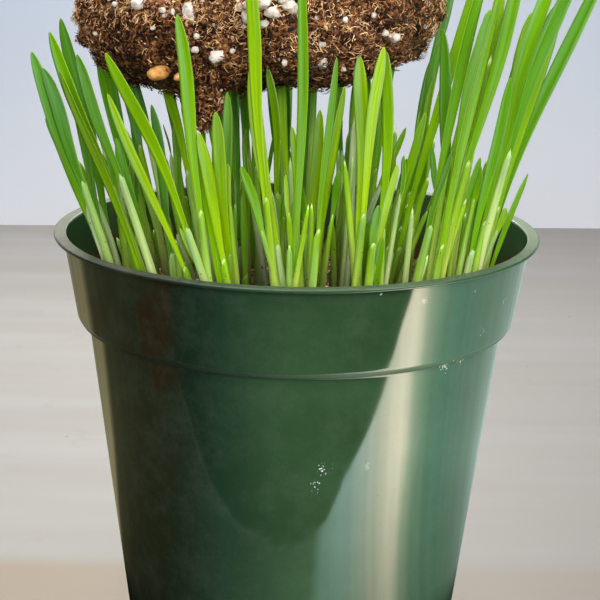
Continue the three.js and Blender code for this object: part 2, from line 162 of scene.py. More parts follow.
pot = Values(
    height=140.0, lipRadius=76.0, lipWidth=3.8, lipThickness=1.2, wall=1.1,
    collarDepth=27.0, collarTop=72.9, collarFoot=68.9, collarStep=3.5,
    foot=51.2, floor=2.6, channelInner=24.0, channelOuter=46.0, channelDepth=1.2,
    drains=6, drainRadius=4.0, turns=128, rounding=0.35,
)
mix = Values(level=118.0, gap=0.35, uneven=1.8)
clump = Values(
    x=-12.6, y=0.0, z=208.0, halfX=54.0, halfY=48.0, halfZ=23.5,
    power=2.6, slope=0.07,
)
drip = Values(x=-27.0, y=-38.0, z=186.5, halfWidth=5.0, halfHeight=9.0)
crownRings = [(0.0, 1, 3), (18.0, 6, 3), (36.0, 12, 3), (54.0, 18, 4)]  # radius, crowns, plants
growth = Values(
    seed=20417, crownRadius=8.4, crownDepth=6.5, crownSides=7, spread=5.4,
    rootDepth=3.5, sheathRadius=1.35, thickness=0.9, crease=0.16,
    gap=0.55, wallGap=0.7, slice=2.5, low=66.0, high=104.0,
    frontLow=44.0, frontHigh=74.0, frontX=36.0, frontY=-38.0,
    leftHigh=82.0, leftX=-38.0, narrow=2.6, broad=4.3, tries=80,
    holdDepth=6.0, lowest=176.0, step=0.5, clumpGap=0.5, clearance=0.035,
    side=0.45,
)
# root x and y, tip x, y and z, leaf width, and how late the shoot bends over
leadingShoots = [
    (-57, -24, -75, -23, 177, 3.4, 0.1), (-56, -26, -78, -31, 197, 4.0, 0.05),
    (-51, -35, -74, -34, 193, 4.6, 0.05), (-61, 10, -74, 12, 203, 4.8, 0.1),
    (-47, -40, -71, -42, 204, 4.2, 0.1), (-41, -46, -66, -49, 195, 4.4, 0.05),
    (-35, -51, -61, -60, 200, 3.8, 0.1), (-36, -49, -51, -50, 176, 3.0, 0),
    (-30, -53, -53, -55, 189, 2.8, 0.05), (-19, -57, -51, -64, 202, 3.9, 0.15),
    (-26, -57, -33, -64, 212, 3.9, 0), (-17, -58, -30, -56, 184, 3.6, 0.05),
    (-12, -59, -27, -60, 180, 3.8, 0), (-5, -61, -15, -60, 228, 3.8, -0.1),
    (0, -56, -14, -58, 197, 4.0, 0), (-1, -61, 1, -63, 226, 3.0, 0),
    (5, -60, 10, -61, 201, 3.4, 0.1), (18, -48, 18, -37, 215, 4.8, 0),
    (14, -57, 24, -38, 215, 3.8, 0), (28, -54, 26, -33, 215, 4.0, 0),
    (52, -20, 40, -30, 206, 3.8, 0), (22, -22, 52, -20, 222, 3.8, 0.1),
    (36, -35, 53, -30, 224, 4.2, 0.3), (38, -45, 52, -42, 213, 4.4, 0.1),
    (41, -46, 54, -52, 217, 5.0, 0.2), (44, -43, 64, -40, 228, 4.4, 0.2),
    (48, -33, 61, -33, 193, 3.4, 0.1), (51, -30, 75, -22, 229, 4.4, 0.2),
    (58, -17, 93, -8, 228, 4.6, 0.3), (56, -20, 76, -18, 208, 4.0, 0.15),
    (54, -27, 78, -32, 227, 4.4, 0.2), (61, -10, 70, -12, 161, 2.4, 0.1),
    (50, -21, 57, -23, 165, 2.6, 0.1),
]
growthSeed = growth.seed


def draw(low=0.0, high=1.0):
    global growthSeed
    growthSeed = growthSeed * 16807 % 2147483647
    return low + (high - low) * (growthSeed / 2147483647)


def potInside(z):
    collarFoot = pot.height - pot.collarDepth
    if z > collarFoot:
        rise = (z - collarFoot) / pot.collarDepth
        return pot.collarFoot - pot.wall + (pot.collarTop - pot.collarFoot) * rise
    rise = (z - pot.floor) / (collarFoot - pot.floor)
    return pot.foot + (pot.collarFoot - pot.collarStep - pot.wall - pot.foot) * rise


def mixHeight(x, y):
    swell = 0.9 * sin(x / 8.5 + 1) * cos(y / 9.5)
    return mix.level + swell + 0.6 * sin((x + y) / 5.3)


def clumpReach(x, y, z):
    # 1 on the clump's surface
    dx, dy = x - clump.x, y - clump.y
    dz = z - clump.z - clump.slope * dx
    power = clump.power
    total = (abs(dx / clump.halfX) ** power + abs(dy / clump.halfY) ** power
             + abs(dz / clump.halfZ) ** power)
    broad = 0.05 * sin(dx / 7 + 1) * cos(dy / 8)
    small = 0.03 * sin(dx / 3.6 + dy / 4 + dz / 3.4)
    return total ** (1 / power) / (1 + broad + small)


def clumpFront(x, z):
    y = clump.y - clump.halfY * 1.2
    while clumpReach(x, y, z) > 1 and y < clump.y:
        y += 0.1
    return y


def shootSection(shoot, t):
    lean = t - 2 * shoot["bow"] * t * (1 - t)
    x = shoot["x"] + (shoot["tipX"] - shoot["x"]) * lean
    y = shoot["y"] + (shoot["tipY"] - shoot["y"]) * lean
    z = shoot["rootZ"] + (shoot["tipZ"] - shoot["rootZ"]) * t
    angle = shoot["face"] + shoot["twist"] * t
    half = growth.sheathRadius * (1.1 - 0.25 * min(1, t / shoot["sheathEnd"]))
    depth, crease = half, 0.0
    if shoot["width"] > 0 and t > shoot["sheathEnd"]:
        up = (t - shoot["sheathEnd"]) / (1 - shoot["sheathEnd"])
        widen = min(1, 0.5 + up / 0.7)
        taper = sqrt(max(0, 1 - ((up - 0.72) / 0.28) ** 2)) if up > 0.72 else 1
        half = shoot["width"] / 2 * widen * taper
        depth = growth.thickness / 2
        crease = growth.crease * half
    if shoot["width"] == 0 and t > 0.999:
        half = 0.0
    return {"x": x, "y": y, "z": z, "side": (cos(angle), sin(angle)),
            "half": half, "depth": depth, "crease": crease}


def shootShares(shoot):
    if shoot["width"] == 0:
        return [0, 0.55, 0.9, 1]
    start, rest = shoot["sheathEnd"], 1 - shoot["sheathEnd"]
    shares = [0, start] + [start + part * rest for part in (0.12, 0.4, 0.7, 0.9)] + [1]
    return [share for share in shares if share < shoot["cut"] - 0.02] + [shoot["cut"]]


def sliceAt(shoot, z):
    sections = shoot["sections"]
    i = 0
    while i < len(sections) - 2 and sections[i + 1]["z"] < z:
        i += 1
    a, b = sections[i], sections[i + 1]
    f = (z - a["z"]) / (b["z"] - a["z"])
    ends = []
    for sign in (-1, 1):
        ax, ay = [a[k] + sign * a["half"] * a["side"][j] for j, k in enumerate("xy")]
        bx, by = [b[k] + sign * b["half"] * b["side"][j] for j, k in enumerate("xy")]
        ends.append((ax + (bx - ax) * f, ay + (by - ay) * f))
    first, last = a["depth"] + a["crease"], b["depth"] + b["crease"]
    return ends, first + (last - first) * f


def pointToLine(p, a, b):
    dx, dy = b[0] - a[0], b[1] - a[1]
    length2 = dx * dx + dy * dy
    along = ((p[0] - a[0]) * dx + (p[1] - a[1]) * dy) / length2 if length2 > 0 else 0
    f = max(0, min(1, along))
    return hypot(p[0] - a[0] - f * dx, p[1] - a[1] - f * dy)


def turnsLeft(a, b, c):
    return (b[0] - a[0]) * (c[1] - a[1]) - (b[1] - a[1]) * (c[0] - a[0]) > 0


def lineDistance(one, two):
    (a, b), (c, d) = one, two
    if turnsLeft(a, b, c) != turnsLeft(a, b, d) and turnsLeft(c, d, a) != turnsLeft(c, d, b):
        return 0
    return min(pointToLine(a, c, d), pointToLine(b, c, d), pointToLine(c, a, b),
               pointToLine(d, a, b))


def slicesOf(shoot):
    first = ceil(shoot["sections"][0]["z"] / growth.slice)
    last = floor(shoot["sections"][-1]["z"] / growth.slice)
    return {level: sliceAt(shoot, level * growth.slice) for level in range(first, last + 1)}


def shootsCross(one, two):
    sameRoot = one["crown"] == two["crown"]
    for level, (ends, depth) in one["slices"].items():
        if sameRoot and level * growth.slice < one["rootZ"] + 3 * growth.rootDepth:
            continue
        other = two["slices"].get(level)
        if other is None or abs(ends[0][0] - other[0][0][0]) > 12:
            continue
        if abs(ends[0][1] - other[0][0][1]) > 14:  # further apart than two leaves are wide
            continue
        if lineDistance(ends, other[0]) < depth + other[1] + growth.gap:
            return True
    return False


def leavesPocket(shoot, crown):
    inside = growth.crownRadius * cos(pi / growth.crownSides)
    ends, depth = sliceAt(shoot, shoot["rootZ"] + growth.rootDepth + mix.uneven)
    return any(hypot(x - crown["x"], y - crown["y"]) + depth / 2 > inside for x, y in ends)


def meetsWall(shoot):
    top = min(pot.height + 2, shoot["sections"][-1]["z"])
    z = shoot["rootZ"] + growth.crownDepth
    while z < top:
        ends, depth = sliceAt(shoot, z)
        room = potInside(min(z, pot.height)) - growth.wallGap - depth
        if any(hypot(x, y) > room for x, y in ends):
            return True
        z += growth.slice
    return False


def clumpContact(shoot):
    z = growth.lowest
    while z < shoot["tipZ"]:
        ends, depth = sliceAt(shoot, z)
        middle = ((ends[0][0] + ends[1][0]) / 2, (ends[0][1] + ends[1][1]) / 2)
        limit = 1 + growth.clearance + depth / clump.halfX
        above = z + growth.clumpGap
        if any(clumpReach(x, y, above) < limit for x, y in (ends[0], middle, ends[1])):
            return z
        z += growth.step
    return 0


def fitShoot(shoot, crown, number):
    shoot["cut"], shoot["held"] = 1, False
    shoot["sections"] = [shootSection(shoot, t) for t in shootShares(shoot)]
    if leavesPocket(shoot, crown) or meetsWall(shoot):
        return False
    contact = clumpContact(shoot)
    if contact > 0:
        ends = sliceAt(shoot, contact)[0]
        besideDrip = hypot(ends[0][0] - drip.x, ends[0][1] - drip.y) < 2 * drip.halfWidth
        if contact > clump.z - growth.side * clump.halfZ or besideDrip:
            return False
        shoot["held"] = number % 4 == 0
        end = contact + growth.holdDepth if shoot["held"] else contact
        shoot["cut"] = min(1, (end - shoot["rootZ"]) / (shoot["tipZ"] - shoot["rootZ"]))
        shoot["sections"] = [shootSection(shoot, t) for t in shootShares(shoot)]
    shoot["slices"] = slicesOf(shoot)
    return True


def crossesOthers(shoot, shoots, ownToo):
    return any((ownToo or other["crown"] != shoot["crown"]) and shootsCross(shoot, other)
               for other in shoots)


def crownPlaces():
    places = []
    for ring, (radius, count, plants) in enumerate(crownRings):
        for i in range(count):
            angle = ((i + 0.5 * (ring % 2)) / count) * 2 * pi
            x, y = radius * cos(angle), radius * sin(angle)
            places.append({"x": x, "y": y, "z": mixHeight(x, y), "plants": plants + (y < -30)})
    return places


def leadingShoot(crowns, row, spread):
    x, y, tipX, tipY, tipZ, width, bow = row
    crown = min(range(len(crowns)), key=lambda i: hypot(crowns[i]["x"] - x, crowns[i]["y"] - y))
    home = crowns[crown]
    pull = min(1, spread / hypot(x - home["x"], y - home["y"]))
    return {
        "crown": crown,
        "x": home["x"] + (x - home["x"]) * pull, "y": home["y"] + (y - home["y"]) * pull,
        "rootZ": home["z"] - growth.rootDepth, "tipX": tipX, "tipY": tipY, "tipZ": tipZ,
        "bow": bow, "width": width, "sheathEnd": draw(0.14, 0.42),
        "face": draw(-0.5, 0.5), "twist": draw(-0.5, 0.5),
    }


def scatteredShoot(crowns, crown, attempt):
    around = draw(0, 2 * pi)
    away = growth.spread * sqrt(draw())
    x = crowns[crown]["x"] + away * cos(around)
    y = crowns[crown]["y"] + away * sin(around)
    out = hypot(x, y) / 60
    short = draw() < 0.22 or attempt > growth.tries / 2
    inFront = x < growth.frontX and y < growth.frontY
    tallest = growth.leftHigh if x < growth.leftX else growth.high
    reach = (growth.frontLow, growth.frontHigh) if inFront else (growth.low, tallest)
    tall = draw(*reach)
    height = draw(16, 52) if short else tall
    lean = height * (0.22 * out + draw(-0.07, 0.13))
    drift = height * draw(-0.09, 0.09)
    outX, outY = x / (60 * max(out, 0.05)), y / (60 * max(out, 0.05))
    rootZ = crowns[crown]["z"] - growth.rootDepth
    bare = short and draw() < 0.6
    return {
        "crown": crown, "x": x, "y": y, "rootZ": rootZ,
        "tipX": x + lean * outX - drift * outY, "tipY": y + lean * outY + drift * outX,
        "tipZ": rootZ + growth.rootDepth + height, "bow": draw(0, 0.3),
        "width": 0 if bare else draw(growth.narrow, growth.broad) * (0.7 if short else 1),
        "sheathEnd": 1 if bare else draw(0.14, 0.5),
        "face": draw(-0.9, 0.9), "twist": draw(-0.7, 0.7),
    }


def growShoots(crowns):
    shoots = []
    for row in leadingShoots:
        spread, placed = growth.spread, False
        while spread > 1 and not placed:
            shoot = leadingShoot(crowns, row, spread)
            placed = fitShoot(shoot, crowns[shoot["crown"]], len(shoots))
            placed = placed and not crossesOthers(shoot, shoots, False)
            if placed:
                shoots.append(shoot)
            spread -= 1
    for crown, place in enumerate(crowns):
        missing = place["plants"] - sum(shoot["crown"] == crown for shoot in shoots)
        for _ in range(max(1, missing)):
            for attempt in range(growth.tries):
                shoot = scatteredShoot(crowns, crown, attempt)
                if not fitShoot(shoot, place, len(shoots)) or crossesOthers(shoot, shoots, True):
                    continue
                shoots.append(shoot)
                break
    return shoots


crowns = crownPlaces()
shoots = growShoots(crowns)
print("shoots grown:", len(shoots))


# Materials

def leafMaterial():
    # fresh wheat leaf: waxy, softly ribbed along its length, and bright where light comes through
    material, add = newMaterial("freshWheatLeaf")
    place = add("Attribute", attribute_name="leafPlace")
    along, tone, across = add("SeparateColor", [place]).outputs
    isLeaf = place.outputs["Alpha"]
    # each leaf has its own green at random; painted shade makes those at the back and on the left
    # bluish and darker, and painted light makes those in front lime
    green = add("ValToRGB", [tone], [
        (0.0, "#5a8a5c"), (0.2, "#5a983c"), (0.42, "#6cac14"), (0.7, "#8ac204"), (1.0, "#b4da08")])
    length = add("ValToRGB", [along], [
        (0.0, "#f6f2b8"), (0.1, "#eef098"), (0.3, "#e2e49c"), (0.7, "#cdd6c0"), (0.975, "#cfd6bf"),
        (1.0, "#f2dca0")])
    leaf = add("Mix", {0: 1.0, 6: green, 7: length}, **multiply)
    sheath = add("ValToRGB", [along], [
        (0.0, "#a39868"), (0.1, "#cdd58e"), (0.35, "#bdd060"), (0.7, "#9cc42c"), (0.955, "#84b410"),
        (0.975, "#e0ee98"), (1.0, "#6a9018")])
    whitish = add("MapRange", [tone, 0.58, 0.95, 0.0, 0.75])
    paled = add("Mix", {0: whitish, 6: sheath, 7: "#dde4c0"}, **blend)
    kind = add("Mix", {0: isLeaf, 6: paled, 7: leaf}, **blend)
    # soft bands that follow the leaf: coordinates across it, along it, and its own share
    ribs = add("Math", [across, 7.0], operation="MULTIPLY")
    stretch = add("Math", [along, 2.5], operation="MULTIPLY")
    own = add("Math", [tone, 60.0], operation="MULTIPLY")
    leafSpace = add("CombineXYZ", [ribs, stretch, own])
    streaks = add("TexNoise", {"Vector": leafSpace, "Scale": 1.0, "Detail": 3.0, "Roughness": 0.6})
    shade = add("MapRange", [streaks, 0.3, 0.7, 0.74, 1.22])
    streaked = add("Mix", {0: 1.0, 6: kind, 7: shade}, **multiply)
    # painted sheen: pale bluish patches on the upper half stand in for the pale room reflected at
    # grazing angles
    sheenNoise = add("TexNoise", {"Vector": leafSpace, "Scale": 0.35, "Detail": 1.0})
    sheenShare = add("MapRange", [sheenNoise, 0.46, 0.66, 0.0, 0.42])
    paintedSheen = add("Math", [sheenShare, along], operation="MULTIPLY")
    sheened = add("Mix", {0: paintedSheen, 6: streaked, 7: "#8fbf86"}, **blend)
    # thin pale margins
    middle = add("Math", [across, 0.5], operation="SUBTRACT")
    offMiddle = add("Math", [middle], operation="ABSOLUTE")
    margin = add("MapRange", [offMiddle, 0.44, 0.5, 0.0, 0.6])
    marginOnLeaf = add("Math", [margin, isLeaf], operation="MULTIPLY")
    edged = add("Mix", {0: marginOnLeaf, 6: sheened, 7: "#c4dc62"}, **blend)
    # crumbs of mix stuck low down, in patches
    coords = add("TexCoord").outputs["Object"]
    dust = add("TexNoise", {"Vector": coords, "Scale": 700.0, "Detail": 3.0, "Roughness": 0.7})
    z = add("SeparateXYZ", [coords]).outputs["Z"]
    low = add("MapRange", [z, 0.118, 0.17, 0.62, 0.76])
    crumbs = add("Math", [dust, low], operation="GREATER_THAN")
    dusty = add("Mix", {0: crumbs, 6: edged, 7: "#5c452b"}, **blend)
    # painted shade: deep among the others and low down, a shoot's foot is darkened where the other
    # shoots shade it
    level = add("VectorMath", [coords, (1.0, 1.0, 0.0)], operation="MULTIPLY")
    out = add("VectorMath", [level], operation="LENGTH")
    inner = add("MapRange", [out, 0.061, 0.05])
    footHeight = add("MapRange", [z, 0.148, 0.12, 0.0, 0.75])
    paintedFootShade = add("Math", [inner, footHeight], operation="MULTIPLY")
    footShaded = add("Mix", {0: paintedFootShade, 6: dusty, 7: "#1c260c"}, **blend)
    bump = add("Bump", {"Height": streaks, "Strength": 0.3, "Distance": 0.0004})
    skin = add("BsdfPrincipled", {"Base Color": footShaded, "Roughness": 0.42, "IOR": 1.42,
        "Specular IOR Level": 0.3, "Normal": bump})
    glow = add("Mix", {0: 0.3, 6: footShaded, 7: "#c8ee10"}, **blend)
    through = add("BsdfTranslucent", [glow])
    both = add("MixShader", [0.28, skin, through])
    add("OutputMaterial", [both])
    return material


def potMaterial():
    # moulded green polypropylene: smooth, slightly clouded, with a dusty lip, scuffs and a stained
    # inside
    material, add = newMaterial("mouldedPolypropylene")
    coords = add("TexCoord").outputs["Object"]
    geometry = add("NewGeometry")
    clouds = add("TexNoise", {"Vector": coords, "Scale": 38.0, "Detail": 4.0})
    cloudy = add("MapRange", [clouds, 0.3, 0.7])
    colour = add("Mix", {0: cloudy, 6: "#274026", 7: "#2f4a2e"}, **blend)
    # painted shade: on the outside, the left side, away from the light, is painted dark olive
    x, _, z = add("SeparateXYZ", [coords]).outputs
    leftShadeShare = add("MapRange", [x, 0.004, -0.036, 0.0, 0.92], interpolation_type="SMOOTHSTEP")
    level = add("VectorMath", [coords, (1.0, 1.0, 0.0)], operation="MULTIPLY")
    outward = add("VectorMath", [geometry.outputs["True Normal"], level], operation="DOT_PRODUCT")
    insideWall = add("Math", [outward, -0.02], operation="LESS_THAN")
    outside = add("Math", [1.0, insideWall], operation="SUBTRACT")
    paintedLeftShade = add("Math", [leftShadeShare, outside], operation="MULTIPLY")
    across = add("MapRange", [x, -0.052, -0.012])
    leftShadeColour = add("ValToRGB", [across], [(0.0, "#14160a"), (0.35, "#14180c"), (0.85, "#0c221d")])
    colour = add("Mix", {0: paintedLeftShade, 6: colour, 7: leftShadeColour}, **blend)
    # a faint haze of dust in specks and smears
    hazeNoise = add("TexNoise", {"Vector": coords, "Scale": 90.0, "Detail": 9.0, "Roughness": 0.82})
    haze = add("MapRange", [hazeNoise, 0.45, 0.9, 0.0, 0.09])
    colour = add("Mix", {0: haze, 6: colour, 7: "#8c9c88"}, **blend)
    specks = add("TexNoise", {"Vector": coords, "Scale": 1500.0, "Detail": 3.0, "Roughness": 0.6})
    marks = [  # place in mm, reach in mm, how much of it is marked, colour, strength
        ((8.7, -61.3, 82.6), 6.5, 0.5, "#e6eee4", 0.95),
        ((6.4, -60.9, 77.4), 6.5, 0.54, "#e6eee4", 0.9),
        ((43.9, -48.5, 111.6), 8.0, 0.44, "#f4f7f0", 0.95),
        ((48.9, -43.0, 111.6), 8.0, 0.5, "#e9efe6", 0.9),
        ((58.2, -29.8, 113.0), 9.0, 0.54, "#d6e0d6", 0.7),
        ((51.7, -50.3, 134.2), 4.0, 0.55, "#d2ddd4", 0.7),
        ((21.8, -57.9, 82.8), 3.8, 0.35, "#6f8f78", 0.5),
        ((36.3, -62.3, 134.2), 3.6, 0.36, "#7d7f62", 0.8),
        ((25.4, -55.0, 72.3), 1.1, 0.3, "#1c2418", 0.9),
        ((23.6, -68.7, 137.4), 0.9, 0.3, "#cdd8cc", 0.9),
        ((-45.0, -42.0, 60.0), 8.0, 0.6, "#a8b09c", 0.5),
        ((-8.0, -60.0, 88.0), 9.0, 0.6, "#93a896", 0.35),
        ((62.0, -34.5, 127.0), 7.0, 0.53, "#b9c9bd", 0.6),
        ((55.0, -42.6, 119.5), 5.0, 0.53, "#a9bdae", 0.5),
    ]
    for place, reach, share, tint, strength in marks:
        away = add("VectorMath", [coords, Vector(place) * mm], operation="DISTANCE")
        near = add("MapRange", [away, 0.0, reach * mm, share, 0.95])
        inside = add("Math", [specks, near], operation="SUBTRACT")
        edge = add("MapRange", [inside, 0.0, 0.05, 0.0, strength])
        colour = add("Mix", {0: edge, 6: colour, 7: tint}, **blend)
    # dust lies on what faces up, in patches
    upward = add("SeparateXYZ", [geometry.outputs["True Normal"]]).outputs["Z"]
    facingUp = add("MapRange", [upward, 0.6, 0.95])
    dustNoise = add("TexNoise", {"Vector": coords, "Scale": 260.0, "Detail": 5.0, "Roughness": 0.7})
    dustShare = add("MapRange", [dustNoise, 0.35, 0.7, 0.0, 0.5])
    dust = add("Math", [facingUp, dustShare], operation="MULTIPLY")
    colour = add("Mix", {0: dust, 6: colour, 7: "#4c5534"}, **blend)
    # brown tide mark of wet mix on the inside, in ragged patches
    tide = add("MapRange", [z, 0.119, 0.139, 0.42, 0.68])
    stains = add("TexNoise", {"Vector": coords, "Scale": 120.0, "Detail": 6.0, "Roughness": 0.75})
    stained = add("Math", [stains, tide], operation="GREATER_THAN")
    stain = add("Math", [stained, insideWall], operation="MULTIPLY")
    colour = add("Mix", {0: stain, 6: colour, 7: "#4a3524"}, **blend)
    rough = add("MapRange", [clouds, 0.3, 0.7, 0.06, 0.09])
    rougher = add("Math", [facingUp, 0.68], operation="MULTIPLY")
    underside = add("MapRange", [upward, -0.3, -0.5, 0.0, 0.45])
    worn = add("Math", [rougher, underside], operation="ADD")
    roughness = add("Math", [rough, worn], operation="ADD")
    ripple = add("TexNoise", {"Vector": coords, "Scale": 55.0, "Detail": 1.0})
    bump = add("Bump", {"Height": ripple, "Strength": 0.12, "Distance": 0.0006})
    body = add("BsdfPrincipled", {"Base Color": colour, "Roughness": roughness, "IOR": 1.49,
        "Normal": bump})
    add("OutputMaterial", [body])
    return material


def mixMaterial():
    # damp coir and peat: chips and fibres from near black to straw, each with its own brown
    material, add = newMaterial("coirPeatMix")
    grain = add("Attribute", attribute_name="grain")
    ownTone, isBody, _ = add("SeparateColor", [grain]).outputs
    coords = add("TexCoord").outputs["Object"]
    # the body under the fibres is crumbs of about a millimetre, each with its own brown
    crumbs = add("TexVoronoi", {"Vector": coords, "Scale": 1300.0})
    pick = add("SeparateColor", [crumbs.outputs["Color"]]).outputs["Red"]
    crumbTone = add("MapRange", {"Value": pick, "To Min": -0.06, "To Max": 0.55})
    bodyTone = add("Math", [crumbTone, isBody], operation="MULTIPLY")
    tone = add("Math", [ownTone, bodyTone], operation="ADD")
    browns = add("ValToRGB", [tone], [
        (0.0, "#090503"), (0.27, "#2c170c"), (0.52, "#794c2a"), (0.78, "#bf8851"),
        (1.0, "#f2cb97")])
    fine = add("TexNoise", {"Vector": coords, "Scale": 1100.0, "Detail": 4.0, "Roughness": 0.7})
    shade = add("MapRange", [fine, 0.3, 0.7, 0.6, 1.3])
    colour = add("Mix", {0: 1.0, 6: browns, 7: shade}, **multiply)
    rounded = add("Math", [crumbs, isBody], operation="MULTIPLY")
    relief = add("Math", [fine, rounded], operation="SUBTRACT")
    bump = add("Bump", {"Height": relief, "Strength": 0.9, "Distance": 0.0007})
    body = add("BsdfPrincipled", {"Base Color": colour, "Roughness": 0.88, "Normal": bump})
    add("OutputMaterial", [body])
    return material


def perliteMaterial():
    # popped volcanic glass: chalk white, pitted, stained by the mix in its hollows
    material, add = newMaterial("poppedPerlite")
    coords = add("TexCoord").outputs["Object"]
    pits = add("TexVoronoi", {"Vector": coords, "Scale": 1400.0})
    stains = add("TexNoise", {"Vector": coords, "Scale": 500.0, "Detail": 4.0})
    stained = add("MapRange", [stains, 0.5, 0.72, 0.0, 0.65])
    colour = add("Mix", {0: stained, 6: "#c6beb1", 7: "#8a725a"}, **blend)
    bump = add("Bump", {"Height": pits, "Strength": 0.5, "Distance": 0.0003})
    body = add("BsdfPrincipled", {"Base Color": colour, "Roughness": 0.8, "Normal": bump})
    add("OutputMaterial", [body])
    return material


def kernelMaterial():
    # wheat bran: golden, a little shiny, wrinkled, darker in the crease
    material, add = newMaterial("wheatBran")
    coords = add("TexCoord").outputs["Object"]
    cloud = add("TexNoise", {"Vector": coords, "Scale": 420.0, "Detail": 4.0})
    colour = add("ValToRGB", [cloud], [
        (0.3, "#8a5a2c"), (0.45, "#c98d47"), (0.6, "#dda862"), (0.75, "#ecc88e")])
    bump = add("Bump", {"Height": cloud, "Strength": 0.4, "Distance": 0.0004})
    body = add("BsdfPrincipled", {"Base Color": colour, "Roughness": 0.46, "Normal": bump})
    add("OutputMaterial", [body])
    return material


def rootMaterial():
    # young root: white, fleshy and damp
    material, add = newMaterial("youngRoot")
    coords = add("TexCoord").outputs["Object"]
    cloud = add("TexNoise", {"Vector": coords, "Scale": 600.0, "Detail": 2.0})
    colour = add("ValToRGB", [cloud], [(0.35, "#b9a98c"), (0.6, "#e4dcc8")])
    body = add("BsdfPrincipled", {"Base Color": colour, "Roughness": 0.5})
    add("OutputMaterial", [body])
    return material


leafSurface, potSurface, mixSurface = leafMaterial(), potMaterial(), mixMaterial()
perliteSurface, kernelSurface, rootSurface = perliteMaterial(), kernelMaterial(), rootMaterial()
print("materials made")


# Pot: one turned wall, with its drain holes cut through the floor

def potProfile():
    collarFoot = pot.height - pot.collarDepth
    lipUnder = pot.height - pot.lipThickness
    bodyTop = pot.collarFoot - pot.collarStep
    return [
        (0, 0), (pot.channelInner, 0), (pot.channelInner + 1, pot.channelDepth),
        (pot.channelOuter - 1, pot.channelDepth), (pot.channelOuter, 0),
        (pot.foot - 0.6, 0), (pot.foot + 0.8, 1.4), (bodyTop, collarFoot - 1.6),
        (pot.collarFoot - 1, collarFoot - 0.8), (pot.collarFoot, collarFoot + 0.8),
        (pot.collarTop, lipUnder), (pot.lipRadius - 0.4, lipUnder),
        (pot.lipRadius, lipUnder + 0.6), (pot.lipRadius - 0.4, pot.height),
        (pot.lipRadius - pot.lipWidth, pot.height),
        (potInside(pot.height), pot.height - 0.6),
        (potInside(collarFoot + 0.1), collarFoot + 0.1),
        (potInside(collarFoot), collarFoot - 0.6), (potInside(pot.floor), pot.floor),
        (0, pot.floor),
    ]


def turnedShape(profile, turns, rounding=0.0, hold=0.8):
    # points held close to the corners keep the shading of the long flat walls straight
    line, corners = [profile[0]], []
    for (r0, z0), (r1, z1) in zip(profile, profile[1:]):
        span = hypot(r1 - r0, z1 - z0)
        if rounding and span > 4 * hold:
            held = (hold / span, 1 - hold / span)
            line += [(r0 + (r1 - r0) * f, z0 + (z1 - z0) * f) for f in held]
        corners.append(len(line))
        line.append((r1, z1))
    bm = bmesh.new()
    verts = [bm.verts.new((r * mm, 0, z * mm)) for r, z in line]
    for pair in zip(verts, verts[1:]):
        bm.edges.new(pair)
    if rounding:
        bmesh.ops.bevel(bm, geom=[verts[i] for i in corners[:-1]], offset=rounding * mm, segments=3,
                        profile=0.5, affect="VERTICES", material=-1, clamp_overlap=True)
    bmesh.ops.spin(bm, geom=bm.verts[:] + bm.edges[:], cent=(0, 0, 0), axis=(0, 0, 1),
                   angle=2 * pi, steps=turns, use_merge=True)
    bmesh.ops.remove_doubles(bm, verts=bm.verts[:], dist=1e-6)
    bmesh.ops.recalc_face_normals(bm, faces=bm.faces[:])
    return bm


def buildPot():
    piece = addPiece(turnedShape(potProfile(), pot.turns, pot.rounding), "nursery_pot",
                     [potSurface], "pot_plastic", ["pot"])
    cutters = bmesh.new()
    ring = (pot.channelInner + pot.channelOuter) / 2 * mm
    for i in range(pot.drains):
        angle = 2 * pi * i / pot.drains
        place = Matrix.Translation((ring * cos(angle), ring * sin(angle), pot.floor * mm / 2))
        bmesh.ops.create_cone(cutters, cap_ends=True, segments=32, radius1=pot.drainRadius * mm,
                              radius2=pot.drainRadius * mm, depth=8 * mm, matrix=place)
    cutterMesh = bpy.data.meshes.new("drains")
    cutters.to_mesh(cutterMesh)
    cutters.free()
    cutter = bpy.data.objects.new("drains", cutterMesh)
    bpy.context.collection.objects.link(cutter)
    cut = piece.modifiers.new("drains", "BOOLEAN")
    cut.operation, cut.solver, cut.object = "DIFFERENCE", "EXACT", cutter
    bpy.context.view_layer.update()
    evaluated = piece.evaluated_get(bpy.context.evaluated_depsgraph_get())
    finished = bpy.data.meshes.new_from_object(evaluated)
    piece.modifiers.clear()
    piece.data = finished
    finished.name = "nursery_pot"
    finished.shade_smooth()
    finished.set_sharp_from_angle(angle=radians(40))
    bpy.data.objects.remove(cutter)


buildPot()
print("pot turned")


# Bunches of shoots

bunch = Values(
    leafMesh=(14, 28), sheathMesh=(10, 16),  # faces round and along
    slenderLeafMesh=(10, 18), slenderSheathMesh=(8, 12),
    leafThickness=0.36,  # mm
    footWidth=0.36, wholeWidthAt=0.72,  # a leaf's width at its foot, and where it is whole
    shoulder=0.35, shoulderFrom=0.62, shoulderLong=0.38,  # it narrows, and then ends round
    tipFrom=0.86, tipRings=1.5,
    rolled=1.9, open=0.38, openBy=0.3,  # half the angle that it is rolled through, radians
    keel=0.22, keelWidth=0.12, waver=0.9, waverTurns=5.5,
    rimSlant=1.3, sheathReach=(1.0, 1.85), highestSheath=0.82, leafFrom=0.8,
    bluntFrom=0.84, bluntLong=0.16, ripple=0.06,
    # thin younger shoots beside the others: how many, their height, place, lean and size
    slenderShares=(0.9, 0.45), slenderHeight=(0.22, 0.9), slenderTop=171.0,
    slenderAway=(1.7, 2.9), slenderLean=0.13, slenderOut=66.0, slenderWidth=(1.7, 2.9),
    slenderSheath=(0.35, 0.7), slenderTwist=0.8, slenderThick=(0.62, 0.9),
    bareBelow=34, bareShare=0.3,
    innerX=25, innerY=-32,  # behind and left of these the sheaths are paler
    # the seed husk beside each shoot, and its roots
    kernelLength=3.2, kernelWidth=1.5, kernelAway=(1.2, 2.4), kernelUp=(-1.1, 0.7),
    kernelTilt=0.4, roots=2, rootLength=(3, 6.5), rootDrop=(0.8, 2.2),
    rootThickness=0.28, seed=700,
)
